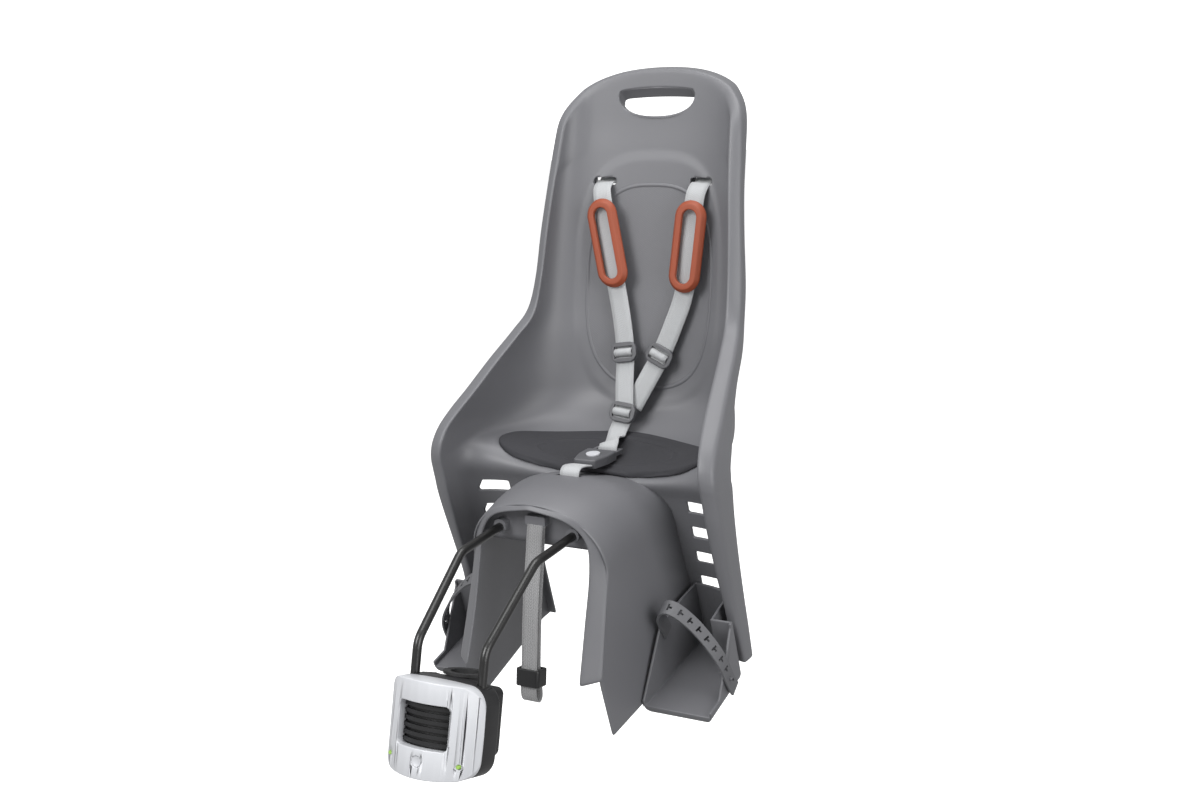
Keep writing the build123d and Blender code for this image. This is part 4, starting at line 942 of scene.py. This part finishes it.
def hand_hole(grow, start, end, draft=0.0):
    """The D-shaped hole as a block, as wide as it grows, between two depths; a draft lowers its far top."""
    bm = bmesh.new()
    half = HOLE_W / 2 + grow
    high = HOLE_H / 2 + grow
    deep = HOLE_H + 2 * grow
    points = []
    for k in range(17):
        x = (half - HOLE_CORNER_R) * (1 - k / 8)
        points.append((x, high + HOLE_BOW * (1 - (x / half) ** 2)))
    for k in range(1, 5):
        f = k / 5
        points.append((-half + HOLE_CORNER_R * (1 - f) ** 2, high - HOLE_CORNER_R * f**2))
    low = deep - HOLE_CORNER_R
    for k in range(33):
        turn = math.pi * k / 32
        x = -math.copysign(abs(math.cos(turn)) ** (2 / HOLE_SQUARE), math.cos(turn)) * half
        points.append((x, high - HOLE_CORNER_R - low * math.sin(turn) ** (2 / HOLE_SQUARE)))
    for k in range(1, 5):
        f = k / 5
        points.append((half - HOLE_CORNER_R * f**2, high - HOLE_CORNER_R * (1 - f) ** 2))
    bm.faces.new([bm.verts.new((x * MM, 0, z * MM)) for x, z in points])
    grown = bmesh.ops.extrude_face_region(bm, geom=list(bm.faces))["geom"]
    lift = [vert for vert in grown if isinstance(vert, bmesh.types.BMVert)]
    for vert in lift:
        vert.co.z -= draft * MM * max(vert.co.z / MM + HOLE_H / 2, 0) / HOLE_H
    bmesh.ops.translate(bm, verts=lift, vec=(0, (end - start) * MM, 0))
    bmesh.ops.translate(bm, verts=bm.verts, vec=(0, start * MM, 0))
    bmesh.ops.rotate(bm, verts=bm.verts, cent=(0, 0, 0), matrix=Matrix.Rotation(-BACK_LEAN, 3, "X"))
    bmesh.ops.translate(bm, verts=bm.verts, vec=HOLE_MIDDLE * MM)
    bmesh.ops.recalc_face_normals(bm, faces=bm.faces)
    return bm


cuts = [hand_hole(0.5, -20, 30)]
tunnel = (2 * TUNNEL_HALF_W, TUNNEL_LONG, TUNNEL_LONG)
cuts.append(block_mesh((0, 304, TUNNEL_TOP_Z - TUNNEL_LONG / 2), tunnel, TUNNEL_R))
for side in (1, -1):
    cuts.append(block_mesh((side * HARNESS_X, 484, 505), (31, 30, 9.6), 4.0))
    for step in range(5):
        z = 155 - LADDER_STEP * step
        cuts.append(block_mesh((side * LADDER_X, 304 + (163 - z) * LADDER_LEAN, z), (40, 24, 14), 2.5))
cut(seat_wall, cuts)
cut(nose_skirts, [block_mesh((0, 247, 198), (31, 9.6, 30))])
ring = hand_hole(WALL, -COLLAR_PROUD, COLLAR_DEEP)
collar = piece("hand_hole_collar", ring, shell_plastic, "seat", "shell", "seat_shell")
cut(collar, [hand_hole(0, -COLLAR_PROUD - 0.2, COLLAR_DEEP + 0.5, HOLE_DRAFT)])
round_edge = collar.modifiers.new("round", "BEVEL")
round_edge.width = COLLAR_EDGE
round_edge.segments = 3
round_edge.limit_method = "ANGLE"
round_edge.angle_limit = math.radians(50)

# %% [markdown]
# ## Straps
# Each strap is a long grid laid along a curve through a few points, with its width across a facing direction.
# Its map runs across and along it, so the weave follows every bend. Solidify gives the webbing its thickness.

# %% Webbing straps
WEBBING_W = 25.0
WEBBING_T = 1.6
SAFETY_W = 20.0
STRAP_RIGHT = [
    (67, 500.5, 521), (67, 500, 511), (67, 494, 505), (67, 484, 503.5), (66, 474, 496), (64, 468, 480),
    (60, 458, 430), (54, 451, 375), (40, 444.5, 334), (24, 438, 297), (7, 425, 262), (-6, 415, 236),
]
STRAP_LEFT = [
    (-67, 500.5, 521), (-67, 500, 511), (-67, 494, 505), (-67, 484, 503.5), (-66, 474, 496), (-62, 468, 480),
    (-53, 460, 431), (-39, 450, 376), (-30, 443, 336), (-24, 435.5, 299), (-19, 420, 262), (-14, 408, 236),
]
LAP_ROUTE = [
    (-10, 404.5, 240), (-11, 402, 231), (-12, 397, 222), (-13, 387, 211.8), (-10, 374, 206.2), (-4, 350.8, 210.9),
    (-1, 342.8, 208.5), (0, 338, 206.5), (0, 336.4, 199.4),
]
CROTCH_ROUTE = [
    (0, 261, 186.4), (0, 252, 186.6), (0, 247, 191.8), (0, 246.5, 194.7), (0, 248.5, 201.7), (0, 255, 205.7),
    (0, 267, 204.4), (0, 279.4, 201.4),
]
SAFETY_ROUTE = [
    (0, 187, 169), (0, 178, 168), (0, 169.5, 161), (0, 160, 122), (0, 148, 72), (0, 136, 2), (0, 131.5, -20),
    (0, 132, -31), (0, 137, -36), (0, 142, -32), (0, 142.5, -20), (0, 142, 2), (0, 153.5, 72), (0, 164, 118),
    (0, 170, 150), (0, 174.5, 162), (0, 187, 164.5),
]
STRAP_STEPS = 10


def strap(name, route, facing, width, finish, slot, body, *stands_for, turned=False):
    """Webbing along a route; turned straps lie the same way across all along, round a loop."""
    steps = STRAP_STEPS * (len(route) - 1)
    line = [Vector(blend(route, i / steps)) for i in range(steps + 1)]
    reach = [0.0]
    for a, b in zip(line, line[1:]):
        reach.append(reach[-1] + (b - a).length * MM)

    def on_strap(u, v):
        i = round((1 + v) / 2 * steps)
        run = line[min(i + 1, steps)] - line[max(i - 1, 0)]
        across = Vector((1, 0, 0)) if turned else run.cross(Vector(facing)).normalized()
        return line[i] + across * (u * width / 2)

    bm, shares = sheet_grid(4, steps, on_strap, Vector(facing))
    if turned:
        first = line[1] - line[0]
        bm.faces.ensure_lookup_table()
        nearest = min(bm.faces, key=lambda face: (face.calc_center_median() - line[0] * MM).length)
        outward = Vector((0, first.z, -first.y))
        if nearest.normal.dot(outward) > 0:
            bmesh.ops.reverse_faces(bm, faces=bm.faces)
    layer = bm.loops.layers.uv.active
    for face in bm.faces:
        for loop in face.loops:
            u, v = shares[loop.vert]
            loop[layer].uv = ((1 + u) / 2, reach[round((1 + v) / 2 * steps)])
    made = piece(name, bm, finish, body, slot, *stands_for)
    thicken(made, WEBBING_T * MM, 0)
    print(name, round(reach[-1], 3), "m long")
    return made


STRAP_FACE = (0, -1, 0.15)
LAP_FACE = (0, -0.75, 0.65)
strap("harness_right", STRAP_RIGHT, STRAP_FACE, WEBBING_W, webbing, "webbing", "seat", "shoulder_strap_right")
strap("harness_left", STRAP_LEFT, STRAP_FACE, WEBBING_W, webbing, "webbing", "seat", "shoulder_strap_left")
strap("harness_lap", LAP_ROUTE, LAP_FACE, WEBBING_W, webbing, "webbing", "seat", "lap_strap")
strap("harness_crotch", CROTCH_ROUTE, (0, 0.5, 0.9), WEBBING_W, webbing, "webbing", "seat", "crotch_strap",
      turned=True)
strap("frame_safety_strap", SAFETY_ROUTE, (0, -1, 0), SAFETY_W, safety_webbing, "safety_webbing", "seat",
      "safety_strap", turned=True)

# %% [markdown]
# ## Webbing over the slides and ring pads
# At each slide the webbing comes out of one slot, goes over the middle bar and back into the other slot, which
# shows as a small round bulge. The ring pads are soft rubber rings round the shoulder straps. Their section has
# a flat face and a slanted outer side. The left ring is bent towards the middle at its lower end.

# %% Bulges and ring pads
BULGE_HALF = 5.2
BULGE_HIGH = 6.6
SLIDE_OUT = 1.0
LOWER_SLIDE_OUT = 2.4
SLIDE_AT = 9
RING_AT = 6
BULGE_T = 0.0012
BULGE_LONG = 0.018
RING_STRAIGHT = 35.0
RING_POINTS = 96
RING_SECTION = [
    (9.8, 0.4), (9.8, 7.4), (9.9, 8.4), (10.4, 8.9), (11.2, 9), (16.2, 9), (16.9, 8.8), (17.4, 8.3), (20.5, 4.4),
    (20.9, 3.8), (21, 3), (21, 0.4),
]
RING_OUT = {"right": 0.4, "left": 1.2}
RING_BEND = {"right": 0.0, "left": 4.5}


def strap_frame(route, index, facing):
    """Place on a strap and its directions: along it, across it and out of it."""
    along = (Vector(route[index + 1]) - Vector(route[index - 1])).normalized()
    across = along.cross(Vector(facing)).normalized()
    return Vector(route[index]), along, across, across.cross(along)


def bulge(name, frame, out_by, stands_for):
    """Webbing that goes over the middle bar of a slide."""
    middle, along, across, out = frame

    def on_bulge(u, v):
        turn = (1 + v) / 2 * math.pi
        rise = out_by + BULGE_HIGH * math.sin(turn)
        return middle + across * (u * (WEBBING_W / 2 - 0.5)) + along * (BULGE_HALF * math.cos(turn)) + out * rise

    bm, shares = sheet_grid(4, 14, on_bulge, out)
    layer = bm.loops.layers.uv.active
    for face in bm.faces:
        for loop in face.loops:
            u, v = shares[loop.vert]
            loop[layer].uv = ((1 + u) / 2, (1 + v) / 2 * BULGE_LONG)
    made = piece(name, bm, webbing, "seat", "webbing", stands_for)
    thicken(made, BULGE_T, 0)


def ring_pad(side, route):
    """Ring of rubber round a shoulder strap."""
    middle, along, across, out = strap_frame(route, RING_AT, STRAP_FACE)
    if across.x < 0:
        across.negate()
    bm = bmesh.new()
    loops = []
    for k in range(RING_POINTS):
        turn = 2 * math.pi * k / RING_POINTS
        loop = []
        for radius, rise in RING_SECTION:
            a = radius * math.cos(turn)
            b = radius * math.sin(turn) + math.copysign(RING_STRAIGHT, math.sin(turn))
            low = max(-b, 0) / (RING_STRAIGHT + 21)
            a += RING_BEND[side] * low**2
            point = middle + across * a - along * b + out * (rise + RING_OUT[side])
            loop.append(bm.verts.new(point * MM))
        loops.append(loop)
    count = len(RING_SECTION)
    for k in range(RING_POINTS):
        here = loops[k]
        there = loops[(k + 1) % RING_POINTS]
        for m in range(count):
            n = (m + 1) % count
            bm.faces.new((here[m], there[m], there[n], here[n]))
    bmesh.ops.recalc_face_normals(bm, faces=bm.faces)
    made = piece("ring_pad_" + side, bm, ring_rubber, "seat", "ring_pad", "shoulder_pad_" + side)
    soft = made.modifiers.new("soft", "SUBSURF")
    soft.levels = 1
    soft.render_levels = 1


for side, route in (("right", STRAP_RIGHT), ("left", STRAP_LEFT)):
    bulge("bulge_" + side, strap_frame(route, SLIDE_AT, STRAP_FACE), SLIDE_OUT, "shoulder_strap_" + side)
    ring_pad(side, route)
bulge("bulge_lower", strap_frame(LAP_ROUTE, 1, LAP_FACE), LOWER_SLIDE_OUT, "lap_strap")
print("bulges and ring pads made")

# %% [markdown]
# ## The seat pad
# The pad is cut from firm foam and drops into the pan. Rings of points go from its middle to its outline, over
# its round edge and back underneath, and each point lies some height over the pan. A cloth simulation then gives
# the swell of the foam: a small pressure blows the closed form up, the movement is held to about a
# millimetre and the shape is kept. The raised line on its face comes last, because the swell would rub it out.

# %% Seat pad
PAD_OUTLINE = [
    (0, 297), (52, 301), (98, 302), (124, 304), (139, 312), (142, 326), (128, 354), (72, 388), (0, 402),
]
PAD_MIDDLE = Vector((0.0, 336.0))
PAD_LIFT = 0.6
PAD_T = 6.0
PAD_SPOKES = 144
PAD_ROUNDS = 8
PAD_MOVE = 0.0012
PAD_FRAMES = 20
PAD_PRESSURE = 4.0
LINE_HIGH = 0.0013
LINE_RINGS = {7: 1.0, 8: 1.0}
TOP_RINGS = [0.1, 0.22, 0.34, 0.45, 0.54, 0.6, 0.625, 0.64, 0.655, 0.68, 0.73, 0.8, 0.87]
EDGE_RINGS = [(7, 6), (4.6, 6), (3, 5.75), (1.7, 5.1), (0.7, 4.1), (0.1, 2.8), (0, 1.6), (0.5, 0.5), (1.6, 0)]
UNDER_RINGS = [0.9, 0.7, 0.45, 0.2]


def nose_top(x, y):
    """Height of the nose at a place."""
    _, middle, square = along_curve(NOSE_ROWS, 0, y)
    sideways = min(abs(x) / skirt_x(y, SKIRT_TOP_Z), 1)
    return middle + (SKIRT_TOP_Z - middle) * (1 - (1 - sideways**square) ** (1 / square))


def pan_top(x, y):
    """Height of the seating face at a place."""
    low = 10 / (len(SHELL_ROWS) - 1)
    high = 17 / (len(SHELL_ROWS) - 1)
    for _ in range(30):
        share = (low + high) / 2
        yc, zc, xi, yi, zi, *_, square = blend(SHELL_ROWS, share)
        sideways = min(abs(x) / xi, 1)
        ahead = 1 - (1 - sideways**square) ** (1 / square)
        if yc + (yi - yc) * ahead > y:
            low = share
        else:
            high = share
    return max(zc + (zi - zc) * ahead + pan_lift(share) * sideways**2 * (1 - ahead), nose_top(x, y))


def over_pan(spot, height):
    """A point some height out from the seating face."""
    step = 1.0
    x, y = spot
    slope_x = (pan_top(x + step, y) - pan_top(x - step, y)) / (2 * step)
    slope_y = (pan_top(x, y + step) - pan_top(x, y - step)) / (2 * step)
    return Vector((x, y, pan_top(x, y) + height * math.sqrt(1 + slope_x**2 + slope_y**2))) * MM


outline = PAD_OUTLINE + [(-x, y) for x, y in PAD_OUTLINE[-2:0:-1]]
around = outline[-1:] + outline + outline[:2]
edges = []
for k in range(PAD_SPOKES):
    edges.append(Vector(blend(around, (1 + len(outline) * k / PAD_SPOKES) / (len(around) - 1))))
for _ in range(PAD_ROUNDS):
    edges = [(edges[k - 1] + 2 * edges[k] + edges[(k + 1) % PAD_SPOKES]) / 4 for k in range(PAD_SPOKES)]
bm = bmesh.new()
middle = bm.verts.new(over_pan(PAD_MIDDLE, PAD_LIFT + PAD_T))
rings = [[] for _ in TOP_RINGS + EDGE_RINGS + UNDER_RINGS]
for edge in edges:
    reach = (edge - PAD_MIDDLE).length
    spots = [(share, PAD_T) for share in TOP_RINGS]
    spots += [(1 - in_by / reach, height) for in_by, height in EDGE_RINGS]
    spots += [(share, 0) for share in UNDER_RINGS]
    for ring, (share, height) in zip(rings, spots):
        ring.append(bm.verts.new(over_pan(PAD_MIDDLE.lerp(edge, share), PAD_LIFT + height)))
under = bm.verts.new(over_pan(PAD_MIDDLE, PAD_LIFT))
for k in range(PAD_SPOKES):
    n = (k + 1) % PAD_SPOKES
    bm.faces.new((middle, rings[0][k], rings[0][n]))
    for inner, outer in zip(rings, rings[1:]):
        bm.faces.new((inner[k], outer[k], outer[n], inner[n]))
    bm.faces.new((under, rings[-1][n], rings[-1][k]))
bmesh.ops.recalc_face_normals(bm, faces=bm.faces)
bm.verts.index_update()
line_of = {vert.index: LINE_RINGS[number] for number in LINE_RINGS for vert in rings[number]}
seat_cushion = piece("seat_cushion", bm, foam, "seat", "foam", "seat_pad")
start = [vert.co.copy() for vert in seat_cushion.data.vertices]
cloth = seat_cushion.modifiers.new("swell", "CLOTH")
cloth.settings.use_pressure = True
cloth.settings.uniform_pressure_force = PAD_PRESSURE
cloth.settings.effector_weights.gravity = 0.0
for number in range(1, PAD_FRAMES + 1):
    scene.frame_set(number)
settle(seat_cushion)
scene.frame_set(1)
for vert, rest in zip(seat_cushion.data.vertices, start):
    move = vert.co - rest
    if move.length > PAD_MOVE:
        vert.co = rest + move.normalized() * PAD_MOVE
    vert.co.z += LINE_HIGH * line_of.get(vert.index, 0)
soft = seat_cushion.modifiers.new("soft", "SUBSURF")
soft.levels = 1
soft.render_levels = 1
settle(seat_cushion)
print("seat cushion", len(seat_cushion.data.polygons), "faces")

# %% [markdown]
# ## Finishes for the solid pieces
# The pieces of the block, the bar, the footrests, the slides and the buckle keep their solid shape, which is
# already right. Each takes the finish of its material slot, and the moulded ones get a small round edge.

# %% Finishes for the solid pieces
FINISHES = {
    "shell": footrest_plastic, "bar": bar_paint, "black_plastic": black_plastic, "dark_plastic": dark_plastic,
    "white_plastic": white_plastic, "green_plastic": green_plastic, "steel": zinc, "rubber": black_rubber,
    "strap_rubber": strap_rubber, "foam": foam, "webbing": webbing, "safety_webbing": safety_webbing,
    "ring_pad": ring_rubber,
}
ROUND_EDGES = {
    "footrest_right": 0.0012, "footrest_left": 0.0012, "block_cover": 0.0011, "block_body": 0.0008,
    "rear_yoke": 0.0008, "buckle_body": 0.0008, "buckle_tongue": 0.0006, "safety_slider": 0.001,
}


def round_edges(solid, width):
    """Small round edges on a moulded solid."""
    weld = solid.modifiers.new("weld", "WELD")
    weld.merge_threshold = 0.00001
    edge = solid.modifiers.new("round", "BEVEL")
    edge.width = width
    edge.segments = 3
    edge.limit_method = "ANGLE"
    edge.angle_limit = math.radians(35)
    edge.use_clamp_overlap = False
    edge.harden_normals = True


for part in frame["record"]["subparts"]:
    solid = nodes[part["node"]]
    solid.data.materials.clear()
    solid.data.materials.append(FINISHES[part["material_slot"]].material)
    if part["node"] in ROUND_EDGES:
        round_edges(solid, ROUND_EDGES[part["node"]])
